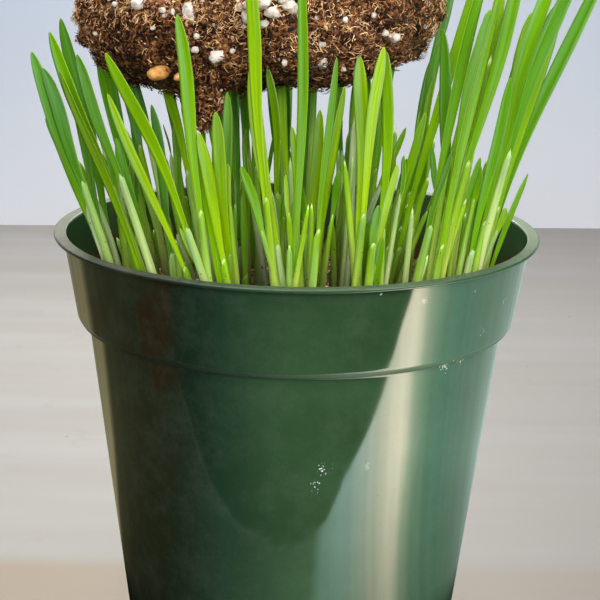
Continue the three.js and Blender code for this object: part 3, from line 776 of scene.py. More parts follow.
kernelShape = Values(
    crease=0.28, creaseWidth=0.22, narrowing=0.18, flatness=0.92, lumpy=0.07, lumpScale=2.3,
)


def smoothStep(x):
    x = min(1.0, max(0.0, x))
    return x * x * (3 - 2 * x)


def roundEnd(share, start, length):
    return sqrt(max(0.0, 1 - max(0.0, (share - start) / length) ** 2))


def shootFrame(shoot, t):
    # the middle of a shoot at a share of its length, with its sideways and forward directions
    section = shootSection(shoot, t)
    before, after = shootSection(shoot, max(0, t - 0.01)), shootSection(shoot, t + 0.01)
    along = Vector([after[k] - before[k] for k in "xyz"]).normalized()
    side = Vector((*section["side"], 0.0))
    side = (side - along * side.dot(along)).normalized()
    return Vector([section[k] for k in "xyz"]), side, along.cross(side)


def leafShares(u, v):
    # across from one margin to the other and back, and up, with more rings near the tip
    return 2 * u if u < 0.5 else 2 - 2 * u, 1 - (1 - v) ** bunch.tipRings


def addLeaf(bm, layer, shoot, tone, start, top, sides, rings):
    height = shoot["tipZ"] - shoot["rootZ"]

    def place(u, v):
        share, ownUp = leafShares(u, v)
        t = start + (top - start) * ownUp
        middle, side, front = shootFrame(shoot, min(t, 1.0))
        up = max(0.0, (t - start) / (1.001 - start))
        across = 2 * share - 1
        widened = smoothStep(up / bunch.wholeWidthAt)
        half = shoot["width"] / 2 * (bunch.footWidth + (1 - bunch.footWidth) * widened)
        past = max(0.0, (ownUp - bunch.shoulderFrom) / bunch.shoulderLong)
        half *= 1 - bunch.shoulder * past ** 2
        half *= roundEnd(ownUp, bunch.tipFrom, 1 - bunch.tipFrom)
        opened = smoothStep(up / bunch.openBy)
        curl = bunch.open + (bunch.rolled - bunch.open) * (1 - opened)
        wide = sin(min(curl, pi / 2))
        bend = across * curl
        x = half * sin(bend) / wide
        y = half * (1 - cos(bend)) / wide - 0.35 * half * (1 - cos(curl)) / wide
        facing = -1 if u < 0.5 else 1
        thin = min(1.0, half)
        thick = bunch.leafThickness / 2 * thin * max(0.0, 1 - across * across) ** 0.5
        ridge = exp(-(across / bunch.keelWidth) ** 2)
        keel = bunch.keel * ridge * thin if facing > 0 else 0.0
        x += facing * thick * -sin(bend)
        y += facing * thick * cos(bend)
        waver = bunch.waver * ownUp * sin(bunch.waverTurns * ownUp + 40 * tone) * height / 90
        return middle + side * (x + waver) - front * (y - keel * 0.5 - 0.7 * waver)

    def shade(u, v):
        share, ownUp = leafShares(u, v)
        return (ownUp, tone, share, 1.0)

    return closedSkin(bm, sides, rings, place, (layer, shade))


def addSheath(bm, layer, shoot, tone, top, sides, rings):
    # a tube that ends in a slanting rim round its leaf, or in a blunt tip where it has none
    hasLeaf = shoot["width"] > 0
    slant = bunch.rimSlant / (shoot["tipZ"] - shoot["rootZ"])

    def place(u, v):
        angle = 2 * pi * u
        rise = slant * cos(angle) * smoothStep((v - 0.6) / 0.3) if hasLeaf and v < 1 else 0.0
        middle, side, front = shootFrame(shoot, min(0.999, top * v + rise))
        radius = growth.sheathRadius * (1.08 - 0.3 * v) * shoot.get("slender", 1.0)
        if not hasLeaf:
            radius *= roundEnd(v, bunch.bluntFrom, bunch.bluntLong)
        if v in (0.0, 1.0):
            radius = 0.0
        ripple = 1 + bunch.ripple * cos(3 * angle + 9 * tone)
        return middle + (side * cos(angle) + front * 0.9 * sin(angle)) * radius * ripple

    def shade(u, v):
        return (v, tone, u if u < 0.5 else 1 - u, 0.0)

    return closedSkin(bm, sides, rings, place, (layer, shade))


def addKernel(bm, layer, middle, heading, tilt, length, width, fine=2, tone=0.5):
    made = bmesh.ops.create_icosphere(bm, subdivisions=fine, radius=1.0)["verts"]
    turn = Matrix.Rotation(heading, 3, "Z") @ Matrix.Rotation(tilt, 3, "Y")
    own, shape = Vector((heading * 9, 0, 0)), kernelShape
    for vert in made:
        x, y, z = vert.co
        groove = shape.crease * exp(-(y / shape.creaseWidth) ** 2) * max(0.0, z)
        lumpy = 1 + shape.lumpy * noise.noise(vert.co * shape.lumpScale + own)
        shaped = Vector((length * x, width * y * (1 - shape.narrowing * x),
                         width * shape.flatness * (z - groove)))
        vert.co = (middle + turn @ (shaped * lumpy)) * mm
        vert[layer] = (tone, tone, 0.5, 0.0)
    return {face for vert in made for face in vert.link_faces}


def addRoot(bm, layer, start, heading, length, drop, chance):
    bends = [chance.uniform(-0.5, 0.5) for _ in range(2)]

    def place(u, v):
        turned = heading + bends[0] * v + bends[1] * v * v
        out = length * v
        middle = start + Vector((cos(turned) * out, sin(turned) * out,
                                 0.8 * sin(3 * v) - drop * v * v))
        radius = bunch.rootThickness * (1 - 0.5 * v) * (0 if v in (0.0, 1.0) else 1)
        sideways = Vector((-sin(turned), cos(turned), 0.0))
        angle = 2 * pi * u
        return middle + (sideways * cos(angle) + Vector((0, 0, sin(angle)))) * radius

    return closedSkin(bm, 4, 7, place, (layer, lambda u, v: (v, 0.5, u, 0.0)))


def slenderShoot(shoot, chance):
    # a thin younger shoot beside a grown one, leaning its own way
    around, away = chance.uniform(0, 2 * pi), chance.uniform(*bunch.slenderAway)
    whole, lean = shoot["tipZ"] - shoot["rootZ"], bunch.slenderLean
    height = min(whole * chance.uniform(*bunch.slenderHeight),
                 bunch.slenderTop - shoot["rootZ"])
    young = dict(shoot)
    for root, tip, shift in (("x", "tipX", cos(around)), ("y", "tipY", sin(around))):
        young[root] += shift * away
        follows = (shoot[tip] - shoot[root]) * (height / whole)
        young[tip] = young[root] + follows + chance.uniform(-lean, lean) * height
    young["tipZ"] = shoot["rootZ"] + height
    bare = height < bunch.bareBelow or chance.random() < bunch.bareShare
    young["width"] = 0.0 if bare else chance.uniform(*bunch.slenderWidth)
    young["sheathEnd"] = 1.0 if bare else chance.uniform(*bunch.slenderSheath)
    young["twist"] = chance.uniform(-bunch.slenderTwist, bunch.slenderTwist)
    young["cut"], young["slender"] = 1, chance.uniform(*bunch.slenderThick)
    young["sections"] = [shootSection(young, t) for t in shootShares(young)]
    return young


def addShoot(bm, layer, shoot, chance, sheathMesh, leafMesh):
    ahead = 0.5 - (shoot["y"] + (0 if shoot["x"] > -30 else 40)) / 120  # painted light and shade: more lime in front, bluer and darker at the back and on the left
    inner = shoot["y"] > bunch.innerY and shoot["x"] < bunch.innerX
    sheathTone = 0.25 + 0.75 * chance.random() if inner else 0.78 * chance.random()
    if shoot["width"] > 0:
        tone = min(1.0, max(0.02, 0.5 * ahead + 0.6 * chance.random()))
        sheathTop = min(shoot["sheathEnd"] * chance.uniform(*bunch.sheathReach),
                        bunch.highestSheath)
        addSheath(bm, layer, shoot, sheathTone, sheathTop, *sheathMesh)
        top = 1.0 if shoot["cut"] == 1 else min(1.0, shoot["cut"] + 0.05)
        addLeaf(bm, layer, shoot, tone, sheathTop * bunch.leafFrom, top, *leafMesh)
    else:
        addSheath(bm, layer, shoot, sheathTone, 1.0, *sheathMesh)


def buildBunch(number, ownShoots):
    chance = random.Random(bunch.seed + number)
    bm = bmesh.new()
    layer = bm.verts.layers.float_color.new("leafPlace")
    for shoot in ownShoots:
        addShoot(bm, layer, shoot, chance, bunch.sheathMesh, bunch.leafMesh)
        for share in bunch.slenderShares:
            if chance.random() < share:
                young = slenderShoot(shoot, chance)
                out = hypot(young["tipX"], young["tipY"])
                if not meetsWall(young) and out < bunch.slenderOut:
                    addShoot(bm, layer, young, chance, bunch.slenderSheathMesh,
                             bunch.slenderLeafMesh)
        foot = Vector((shoot["x"], shoot["y"], mixHeight(shoot["x"], shoot["y"])))
        heading = chance.uniform(0, 2 * pi)
        off = Vector((cos(heading), sin(heading), 0)) * chance.uniform(*bunch.kernelAway)
        up = Vector((0, 0, chance.uniform(*bunch.kernelUp)))
        kernel = addKernel(bm, layer, foot + off + up, chance.uniform(0, 6.28),
                           chance.uniform(-bunch.kernelTilt, bunch.kernelTilt),
                           bunch.kernelLength, bunch.kernelWidth)
        for face in kernel:
            face.material_index = 1
        for _ in range(bunch.roots):
            root = addRoot(bm, layer, foot + Vector((0, 0, 0.2)), chance.uniform(0, 6.28),
                           chance.uniform(*bunch.rootLength),
                           chance.uniform(*bunch.rootDrop), chance)
            for face in root:
                face.material_index = 2
    addPiece(bm, f"wheat_bunch_{number:02d}", [leafSurface, kernelSurface, rootSurface], "shoot",
             [f"shoots_{number:02d}"])


for number in range(1, len(crowns) + 1):
    buildBunch(number, [shoot for shoot in shoots if shoot["crown"] == number - 1])
print("bunches of shoots made")


# Coir and peat: small splinters and fibres strewn over a form

# length and width from the middle out in mm, slope, and height above the form in mm
crumb = Values(
    kinds=9,
    splinter=Values(long=(0.35, 1.15), wide=(0.15, 0.42), slope=0.7, proud=0.4),
    fibre=Values(long=(0.6, 1.9), wide=(0.5, 1.0), slope=0.6, proud=0.8),
    fibreThick=0.16,  # of its width
    sunk=-0.3, flat=(0.6, 1.0),
)


def templateMesh(bm):
    bmesh.ops.triangulate(bm, faces=bm.faces[:])
    mesh = bpy.data.meshes.new("template")
    bm.to_mesh(mesh)
    bm.free()
    return mesh


def splinterTemplate(chance):
    bm = bmesh.new()
    bmesh.ops.create_uvsphere(bm, u_segments=4, v_segments=2, radius=1.0)
    bmesh.ops.rotate(bm, verts=bm.verts[:], matrix=Matrix.Rotation(radians(90), 3, "Y"))
    for vert in bm.verts:
        vert.co += Vector([chance.uniform(-0.3, 0.3) for _ in range(3)])
    return templateMesh(bm)


def fibreTemplate(chance):
    bm = bmesh.new()
    layer = bm.verts.layers.float_color.new("grain")
    sway = [chance.uniform(-1.0, 1.0) for _ in range(3)]

    def place(u, v):
        x = 2 * v - 1
        thick = 0.0 if v in (0.0, 1.0) else crumb.fibreThick
        angle = 2 * pi * u
        bend = Vector((x, 0.85 * sway[0] * (1 - x * x) + 0.45 * sway[1] * sin(3.2 * x),
                       sway[2] * (1 - x * x) * 0.6))
        return (bend + Vector((0, thick * cos(angle), thick * sin(angle)))) / mm

    closedSkin(bm, 3, 4, place, (layer, lambda u, v: (0.5, 0.5, 0.5, 1.0)))
    return templateMesh(bm)


def strewn(template, places, tones):
    # one mesh with a copy of the template for each place
    points = np.array([[*vert.co, 1.0] for vert in template.vertices])
    corners = np.array([list(face.vertices) for face in template.polygons])
    matrices = np.array([[list(row) for row in place] for place in places])
    many = np.einsum("nij,pj->npi", matrices, points)[:, :, :3].reshape(-1, 3)
    shifted = corners[None] + (np.arange(len(places)) * len(points))[:, None, None]
    mesh = bpy.data.meshes.new("strewn")
    mesh.from_pydata(many, [], shifted.reshape(-1, 3))
    shades = mesh.attributes.new("grain", "FLOAT_COLOR", "POINT")
    colours = np.repeat(np.array([[tone, 0.0, 0.0, 1.0] for tone in tones]), len(points), axis=0)
    shades.data.foreach_set("color", colours.ravel())
    return mesh


def lying(point, normal, chance, lift, size):
    # a matrix that lays a splinter or fibre on a surface, its length turned any way
    tangent = Matrix.Rotation(chance.uniform(0, 2 * pi), 3, normal) @ normal.orthogonal()
    tangent = (tangent.normalized() + normal * chance.uniform(-lift, lift)).normalized()
    third = normal.cross(tangent).normalized()
    up = tangent.cross(third)
    turned = Matrix((tangent * size[0], third * size[1], up * size[2])).transposed().to_4x4()
    return Matrix.Translation(point * mm) @ Matrix.Scale(mm, 4) @ turned


def strewOver(bm, surfacePoint, chance, splinters, fibres, toneAt):
    # surfacePoint gives a point and its normal; the copies are added to bm
    sorts = [(count, [make(chance) for _ in range(crumb.kinds)], shape)
             for count, make, shape in ((splinters, splinterTemplate, crumb.splinter),
                                        (fibres, fibreTemplate, crumb.fibre))]
    for count, templates, shape in sorts:
        for template in templates if count else []:
            places, tones = [], []
            for _ in range(count // len(templates)):
                point, normal = surfacePoint()
                length, width = chance.uniform(*shape.long), chance.uniform(*shape.wide)
                size = (length, width, width * chance.uniform(*crumb.flat))
                lifted = point + normal * chance.uniform(crumb.sunk, shape.proud)
                places.append(lying(lifted, normal, chance, shape.slope, size))
                tones.append(min(1.0, max(0.0, toneAt(point, chance))))
            mesh = strewn(template, places, tones)
            bm.from_mesh(mesh)
            bpy.data.meshes.remove(mesh)
            bpy.data.meshes.remove(template)


def bumpy(point, sizes):
    # sum of noises, each of a size in mm and a height in mm
    return sum(height * noise.noise(point / size + Vector((size, 0, 7))) for size, height in sizes)


# The clump that the shoots lift

clumpLook = Values(
    detail=5, dripDetail=3, splinters=4800, fibres=6600, looseFibres=(9600, 7800),
    dripSplinters=400, dripFibres=500, seed=31,
    lumps=[(9.0, 2.0), (4.0, 2.2), (2.2, 1.2)], dripLumps=[(3.5, 2.2), (1.6, 1.2)],
    sunk=1.2,  # mm that the lumpy body lies under the solid's surface
    tone=(0.55, 0.28), toneLumps=[(5, 0.34), (2.3, 0.25)],
    # painted shade in dark patches and painted light in bright ones: x, z, reach, and how much
    # darker or brighter
    patches=[
        (-47, 194, 11, -0.42), (-10, 191, 8, -0.45), (4, 195.5, 5, -0.3), (13, 190, 6, -0.3),
        (-36, 205, 4, -0.25), (28, 210, 5, -0.3), (-44, 211, 9, 0.12), (-24, 206, 12, 0.14),
        (9, 205, 12, 0.16), (-27, 184, 7, 0.16), (-21, 194, 5, 0.1),
    ],
)


def clumpSurface(direction):
    half = Vector((clump.halfX, clump.halfY, clump.halfZ))
    point = direction * half
    for _ in range(4):
        reach = clumpReach(clump.x + point.x, clump.y + point.y,
                           clump.z + point.z + clump.slope * point.x)
        point *= 1 / reach
    normal = Vector([direction[i] / half[i] for i in range(3)]).normalized()
    middle = Vector((clump.x, clump.y, clump.z + clump.slope * point.x))
    point = middle + point
    return point + normal * (bumpy(point, clumpLook.lumps) - clumpLook.sunk), normal


def dripSurface(direction):
    size = Vector((drip.halfWidth, drip.halfWidth, drip.halfHeight))
    normal = Vector([direction[i] / size[i] for i in range(3)]).normalized()
    point = Vector((drip.x, drip.y, drip.z)) + direction * size
    return point + normal * bumpy(point, clumpLook.dripLumps), normal


def anyDirection(chance):
    height, around = chance.uniform(-1, 1), chance.uniform(0, 2 * pi)
    level = sqrt(1 - height * height)
    return Vector((level * cos(around), level * sin(around), height))


def clumpTone(point, chance):
    tone = chance.gauss(*clumpLook.tone)
    for size, amount in clumpLook.toneLumps:
        tone += amount * noise.noise(point / size)
    # brighter upwards, painted shade that darkens the lower clump, and darker again near the top
    tone = tone + 0.008 * (min(point.z, 214) - 203) - 0.012 * max(0, point.z - 222)
    # painted shade and painted light in patches
    for x, z, reach, change in clumpLook.patches:
        tone += change * exp(-((point.x - x) ** 2 + 1.6 * (point.z - z) ** 2) / reach ** 2)
    return tone


def buildClump():
    chance = random.Random(clumpLook.seed)
    bm = bmesh.new()
    layer = bm.verts.layers.float_color.new("grain")
    for detail, surface in ((clumpLook.detail, clumpSurface),
                            (clumpLook.dripDetail, dripSurface)):
        for vert in bmesh.ops.create_icosphere(bm, subdivisions=detail, radius=1.0)["verts"]:
            point, _ = surface(vert.co.normalized())
            # painted shade: the lumpy body under the fibres gets a near-black tone, for the hollows
            # between them
            tone = 0.08 + 0.3 * noise.noise(point / 2.5)
            vert[layer] = (tone, 1.0, 0.0, 1.0)
            vert.co = point * mm

    def anywhere():
        return clumpSurface(anyDirection(chance))

    strewOver(bm, anywhere, chance, clumpLook.splinters, clumpLook.fibres, clumpTone)
    strewOver(bm, lambda: dripSurface(anyDirection(chance)), chance, clumpLook.dripSplinters,
              clumpLook.dripFibres, clumpTone)
    addPiece(bm, "lifted_mix", [mixSurface], "potting_mix", ["lifted_clump"], smooth=False)
    for name, count in zip(("coir_fibres", "coir_wisps"), clumpLook.looseFibres):
        bm = bmesh.new()
        bm.verts.layers.float_color.new("grain")
        strewOver(bm, anywhere, chance, 0, count, clumpTone)
        addPiece(bm, name, [mixSurface], "potting_mix", smooth=False)


buildClump()
print("lifted clump made")


# The mix in the pot

mixLook = Values(
    turns=96, rings=34, splinters=2700, fibres=3600, seed=57,
    lumps=[(6.0, 1.1), (2.6, 1.0), (1.3, 0.5)], sunk=0.2, tone=(0.42, 0.2),
)


def mixSurfacePoint(x, y):
    point = Vector((x, y, mixHeight(x, y)))
    point.z += bumpy(point, mixLook.lumps) - mixLook.sunk
    return point


def buildMix():
    chance = random.Random(mixLook.seed)
    collarFoot = pot.height - pot.collarDepth
    edge = potInside(mix.level) - mix.gap
    profile = [
        (0, pot.floor + mix.gap),
        (potInside(pot.floor) - mix.gap, pot.floor + mix.gap),
        (potInside(collarFoot) - mix.gap, collarFoot - 0.2),
        (potInside(collarFoot + 1) - mix.gap, collarFoot + 1.2), (edge, mix.level - 1.2),
    ]
    rings = mixLook.rings
    profile += [(edge * (1 - i / rings), mix.level) for i in range(rings + 1)]
    bm = turnedShape(profile, mixLook.turns)
    layer = bm.verts.layers.float_color.new("grain")
    for vert in bm.verts:
        point = vert.co / mm
        tone = 0.08 + 0.4 * noise.noise(point / 1.7)
        vert[layer] = (tone, 1.0, 0.0, 1.0)
        if point.z > mix.level - 0.5:
            vert.co = mixSurfacePoint(point.x, point.y) * mm

    def anywhere():
        out, around = (edge - 1.2) * sqrt(chance.random()), chance.uniform(0, 2 * pi)
        return mixSurfacePoint(out * cos(around), out * sin(around)), Vector((0, 0, 1))

    strewOver(bm, anywhere, chance, mixLook.splinters, mixLook.fibres,
              lambda point, chance: chance.gauss(*mixLook.tone))
    addPiece(bm, "potting_mix", [mixSurface], "potting_mix", ["soil"], smooth=False)


buildMix()
print("potting mix made")


# Perlite grains and kernels, large ones where the solids are and small ones strewn about

perliteInClump = [  # x, z and radius
    (-31, 210, 3.0), (-23, 199, 2.4), (-12, 214, 3.0), (-3, 213, 2.6), (-45, 213, 2.4),
    (6, 197, 1.8),
]
perliteInPot = [(19, -19, 1.5), (-7, -26, 1.5)]  # x, y and radius
kernelsInClump = [(-40, 193, 3.5, 2.4), (-34, 192, 1.8, 1.3)]  # x, z, half length and half width
smallPerlite = Values(clump=130, drip=9, pot=60, small=(0.22, 0.75), seed=83)
grain = Values(
    flats=7, flatReach=(0.55, 0.82), flattened=0.8, stretch=(0.8, 1.18), size=1.08,
    lumpy=0.26, lumpScale=1.6, pitted=0.12, pitScale=4.4, seed=900,
)
placedPerlite = [  # x, z and radius of small ones that show in the clump's front
    (-8, 211.4, 2.1), (-14.6, 210.2, 1.7), (0.2, 210.6, 1.6), (-10, 208.6, 1.3), (-16.6, 213, 1.5),
    (-5, 215.5, 2.0), (0.6, 207.6, 1.0), (-13.2, 206.9, 0.9), (-29.2, 200.4, 1.0),
    (-27.9, 191.4, 1.6), (-26.4, 188.2, 1.1), (-4.2, 197.4, 1.0), (6.3, 202.4, 1.1),
    (20.6, 210.3, 0.9), (27.0, 203.8, 1.6), (24.0, 205.2, 1.0), (-38.2, 211.2, 1.0),
    (-35.4, 210.6, 0.8), (-41, 206, 0.7), (-24, 216, 1.4), (12.5, 209.5, 1.0), (16, 193.5, 1.0),
    (12.6, 194.6, 0.8), (-52, 212, 0.9),
]


def addGrain(bm, middle, radius, fine, number):
    # an angular popped grain: flats cut into a lumpy ball, stretched its own way
    chance = random.Random(grain.seed + number)
    made = bmesh.ops.create_icosphere(bm, subdivisions=fine, radius=1.0)["verts"]
    offset = Vector((number * 3.7, number * 1.3, 0))
    flats = [(anyDirection(chance), chance.uniform(*grain.flatReach))
             for _ in range(grain.flats)]
    stretch = Vector([chance.uniform(*grain.stretch) for _ in range(3)])
    for vert in made:
        swell = grain.lumpy * noise.noise(vert.co * grain.lumpScale + offset)
        point = vert.co * (0.98 + swell)
        for flat, reach in flats:
            over = point.dot(flat) - reach
            if over > 0:
                point -= flat * over * grain.flattened
        point *= 1 + grain.pitted * noise.noise(vert.co * grain.pitScale + offset)
        vert.co = (middle + point * stretch * radius * grain.size) * mm


def buildGrains():
    places = [Vector((x, clumpFront(x, z) + 0.35 * radius + 0.5, z))
              for x, z, radius in perliteInClump]
    places += [Vector((x, y, mixHeight(x, y))) for x, y, _ in perliteInPot]
    radii = [row[2] for row in perliteInClump + perliteInPot]
    for i, (place, radius) in enumerate(zip(places, radii), 1):
        bm = bmesh.new()
        addGrain(bm, place, radius, 4, i)
        addPiece(bm, f"perlite_grain_{i}", [perliteSurface], "perlite", [f"perlite_{i}"])
    chance = random.Random(smallPerlite.seed)
    bm = bmesh.new()
    for i, (x, z, radius) in enumerate(placedPerlite):
        addGrain(bm, Vector((x, clumpFront(x, z) + 0.5, z)), radius, 3, 40 + i)
    rim = potInside(mix.level) - 3
    for i in range(smallPerlite.clump + smallPerlite.drip + smallPerlite.pot):
        radius = smallPerlite.small[0] + chance.random() ** 2.2 * smallPerlite.small[1]
        if i < smallPerlite.clump:
            point = clumpSurface(anyDirection(chance))[0]
        elif i < smallPerlite.clump + smallPerlite.drip:
            point = dripSurface(anyDirection(chance))[0]
        else:
            out, around = rim * sqrt(chance.random()), chance.uniform(0, 2 * pi)
            point = mixSurfacePoint(out * cos(around), out * sin(around))
        addGrain(bm, point, radius, 2, 100 + i)
    addPiece(bm, "perlite_crumbs", [perliteSurface], "perlite")
    for i, (x, z, halfLength, halfWidth) in enumerate(kernelsInClump, 1):
        bm = bmesh.new()
        layer = bm.verts.layers.float_color.new("leafPlace")
        addKernel(bm, layer, Vector((x, clumpFront(x, z) + 0.3 * halfWidth, z)), 0.15 * i, -0.2 * i,
                  halfLength, halfWidth, fine=4)
        addPiece(bm, f"wheat_kernel_{i}", [kernelSurface], "kernel", [f"kernel_{i}"])


buildGrains()
print("grains and kernels made")


# Floor and wall, which aren't part of the object

stage = Values(  # mm, and the wall's turn in mm for each mm
    wallAt=618.0, wallTurn=0.06, wide=4000.0, tall=1800.0, front=-3000.0,
    back=2618.0,
)


def floorMaterial():
    # pale wiped tabletop with faint streaks, a few specks and a warmer, darker band near the front
    # on the left
    material, add = newMaterial("paleTabletop")
    coords = add("TexCoord").outputs["Object"]
    stretched = add("Mapping", {"Vector": coords, "Scale": (4.0, 40.0, 1.0)})
    streaks = add("TexNoise", {"Vector": stretched, "Scale": 1.0, "Detail": 6.0})
    colour = add("ValToRGB", [streaks], [(0.3, "#6a6664"), (0.5, "#6d6a69"), (0.7, "#706e6f")])
    # duller towards the right, where less light falls
    x, y, _ = add("SeparateXYZ", [coords]).outputs
    dulled = add("MapRange", [x, -0.02, 0.12, 1.0, 0.82], interpolation_type="SMOOTHSTEP")
    nearer = add("MapRange", [y, 0.32, 0.05, 1.0, 0.8])
    duller = add("Math", [dulled, nearer], operation="MULTIPLY")
    top = add("Mix", {0: 1.0, 6: colour, 7: duller}, **multiply)
    # a warmer, darker band near the front on the left
    near = add("MapRange", [y, 0.058, 0.048])
    left = add("MapRange", [x, 0.08, -0.09, 0.3, 0.8])
    warmBand = add("Math", [near, left], operation="MULTIPLY")
    warm = add("Mix", {0: warmBand, 6: top, 7: "#5c4933"}, **blend)
    smears = add("TexNoise", {"Vector": coords, "Scale": 45.0, "Detail": 5.0, "Roughness": 0.65})
    smudged = add("MapRange", [smears, 0.6, 0.72, 0.0, 0.22])
    smudges = add("Mix", {0: smudged, 6: warm, 7: "#55493c"}, **blend)
    specks = add("TexVoronoi", {"Vector": coords, "Scale": 42.0})
    spotted = add("MapRange", [specks, 0.05, 0.03, 0.0, 0.8])
    spots = add("Mix", {0: spotted, 6: smudges, 7: "#4a3f36"}, **blend)
    body = add("BsdfPrincipled", {"Base Color": spots, "Roughness": 0.55})
    add("OutputMaterial", [body])
    return material


def wallMaterial():
    # matt painted wall, seen only from its front; painted light makes it paler low down
    material, add = newMaterial("paleWall")
    coords = add("TexCoord").outputs["Object"]
    soft = add("TexNoise", {"Vector": coords, "Scale": 4.0, "Detail": 2.0})
    z = add("SeparateXYZ", [coords]).outputs["Z"]
    mottled = add("Math", [soft, 0.12], operation="MULTIPLY")
    height = add("Math", [z, mottled], operation="ADD")
    colour = add("MapRange", [height, 0.05, 0.34])
    shaded = add("ValToRGB", [colour], [(0.0, "#b8bbc0"), (1.0, "#808da1")])
    body = add("BsdfPrincipled", {"Base Color": shaded, "Roughness": 0.9})
    showFrontOnly(add, body)
    return material


def buildStage():
    wide = stage.wide
    bm = bmesh.new()
    bmesh.ops.create_grid(bm, x_segments=1, y_segments=1, size=1.0)
    for vert in bm.verts:
        y = stage.front if vert.co.y < 0 else stage.back
        vert.co = Vector((vert.co.x * wide, y, 0)) * mm
    tabletop = addPiece(bm, "floor", [floorMaterial()])
    bm = bmesh.new()
    verts = [bm.verts.new((-wide * mm, (stage.wallAt - wide * stage.wallTurn) * mm, z * mm))
             for z in (0.0, stage.tall)]
    edges = [bm.edges.new(verts)]
    made = bmesh.ops.extrude_edge_only(bm, edges=edges)["geom"]
    moved = [item for item in made if isinstance(item, bmesh.types.BMVert)]
    bmesh.ops.translate(bm, verts=moved, vec=(2 * wide * mm, 2 * wide * stage.wallTurn * mm, 0))
    bmesh.ops.recalc_face_normals(bm, faces=bm.faces[:])
    if bm.faces[0].normal.y > 0:
        bmesh.ops.reverse_faces(bm, faces=bm.faces[:])
    addPiece(bm, "wall", [wallMaterial()])
    return tabletop


tabletop = buildStage()
print("floor and wall made")


# Light: a pale room, a large soft window on the right, and light from above, behind and in front

lights = [  # name, place, aimed at, width, height, watts, colour
    ("windowRight", (560, -420, 620), (0, 0, 160), 520, 520, 5.5, "#fff6ea"),
    ("overhead", (-60, 120, 900), (0, 0, 130), 700, 700, 9.5, "#ffffff"),
    ("behind", (-60, 500, 480), (0, 0, 170), 500, 300, 7.5, "#fffbe8"),
    ("fillFront", (-20, -940, 480), (0, 0, 140), 700, 500, 12.0, "#f6f7ff"),
    ("wallWash", (-220, 250, 700), (-220, 613, 260), 1200, 300, 1.5, "#f6f8ff"),
]
room = Values(colour="#dfe6f2", strength=0.4)
# What the pot's gloss mirrors in place of the floor: cards round the pot, with corners in mm. The
# table's light goes by direction from the pot, in degrees from the front towards the right.
mirrored = Values(
    strength=15.0, bands=(0.92, 1.08), nearShare=0.36, near=92.0, far=195.0,
    shadow=0.12, shadowFrom=0.8, drift=6.0,
    table=[(-420, -122), (-210, -122), (-61, -127), (-25, -131), (0, -134), (42, -141), (75, -155),
           (92, -158), (244, -178), (420, -196), (420, 580), (-420, 580)],
    sweep=[
        (-180, "#1c1b14"), (-145, "#27251b"), (-128, "#3a3626"), (-121, "#1b1a10"),
        (-60, "#17170f"), (-8, "#26302a"), (14, "#3a4740"), (20, "#86a39c"), (30, "#9db5b0"),
        (40, "#bcc2b6"), (48, "#ddd6c0"), (53, "#f5ead2"), (58, "#f3e9d0"), (63, "#a3ad96"),
        (70, "#647c6c"), (80, "#46645a"), (105, "#415048"), (135, "#3b4440"), (180, "#303331"),
    ],
    rim=[(-210, -122), (-125, -122), (-61, -126), (-25, -131), (-25, -134), (-61, -129.5),
         (-125, -125.5), (-210, -125.5)],
    brownThing=[(-230, -56), (-292, -54), (-268, -162), (-213, -136)],
    under=[(-1500, -1500), (1500, -1500), (1500, 600), (-1500, 600)],
)


def addLights():
    for name, place, aim, wide, tall, watts, colour in lights:
        data = bpy.data.lights.new(name, "AREA")
        data.shape, data.size, data.size_y = "RECTANGLE", wide * mm, tall * mm
        data.energy, data.color = watts, linear(colour)[:3]
        lamp = bpy.data.objects.new(name, data)
        lamp.location = Vector(place) * mm
        lamp.rotation_euler = ((Vector(aim) - Vector(place)).to_track_quat("-Z", "Y")).to_euler()
        lamp.visible_camera = False
        lamp.visible_glossy = name != "fillFront"
        bpy.context.collection.objects.link(lamp)
    world = bpy.data.worlds.new("paleRoom")
    world.use_nodes = True
    background = world.node_tree.nodes["Background"]
    background.inputs["Color"].default_value = linear(room.colour)
    background.inputs["Strength"].default_value = room.strength
    bpy.context.scene.world = world


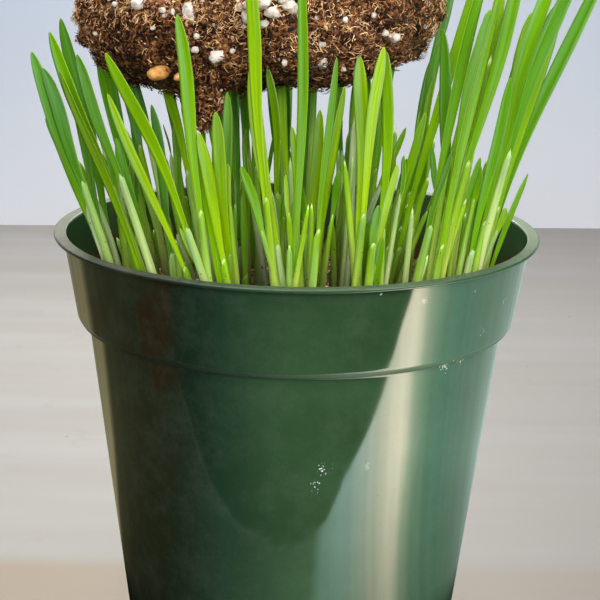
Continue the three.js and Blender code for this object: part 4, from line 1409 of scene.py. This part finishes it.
def tableLight():
    # sunlit tabletop as the pot's gloss shows it
    near, far = mirrored.near * mm, mirrored.far * mm
    weak, strong = [share * mirrored.strength for share in mirrored.bands]
    stops = [((degrees + 180) / 360, colour) for degrees, colour in mirrored.sweep]
    material, add = newMaterial("mirroredTable")
    place = add("TexCoord").outputs["Object"]
    x, y, _ = add("SeparateXYZ", [place]).outputs
    ahead = add("Math", [y, -1.0], operation="MULTIPLY")
    angle = add("Math", [x, ahead], operation="ARCTAN2")
    away = add("VectorMath", [place], operation="LENGTH")
    drift = add("MapRange", [away, near, far, radians(mirrored.drift), 0.0])
    drifted = add("Math", [angle, drift], operation="ADD")
    turned = add("MapRange", [drifted, -pi, pi])
    sweep = add("ValToRGB", [turned], stops)
    share = add("MapRange", [away, near, far, mirrored.nearShare, 1.0])
    bands = add("TexNoise", {"W": angle, "Scale": 11.0, "Detail": 2.0}, noise_dimensions="1D")
    banded = add("MapRange", [bands, 0.3, 0.7, weak, strong])
    # the pot's own shadow darkens the table close to it
    shadow = add("MapRange", [away, mirrored.shadowFrom * mirrored.near * mm, near,
                              mirrored.shadow, 1.0])
    shaded = add("Math", [share, shadow], operation="MULTIPLY")
    power = add("Math", [shaded, banded], operation="MULTIPLY")
    light = add("Emission", [sweep, power])
    showFrontOnly(add, light)
    return material


def plainLight(name, colour, strength):
    material, add = newMaterial(name)
    light = add("Emission", [colour, strength])
    showFrontOnly(add, light)
    return material


def addMirroredTable():
    tabletop.visible_glossy = False
    for name, material, corners, height in (
        ("underTable", plainLight("darkUnderTable", "#38483c", 0.25), mirrored.under, -2.0),
        ("mirroredTable", tableLight(), mirrored.table, 0.3),
        ("tableRim", plainLight("paleRim", "#9fb09a", 0.9), mirrored.rim, 0.4),
        ("brownThing", plainLight("brownReflection", "#8a3524", 0.8), mirrored.brownThing, 0.5),
    ):
        bm = bmesh.new()
        face = bm.faces.new([bm.verts.new((x * mm, y * mm, height * mm)) for x, y in corners])
        face.normal_update()
        if face.normal.z < 0:
            face.normal_flip()
        card = addPiece(bm, name, [material])
        card.visible_camera = card.visible_diffuse = card.visible_shadow = False
        card.visible_transmission = card.visible_volume_scatter = False


addLights()
addMirroredTable()
print("lights set")
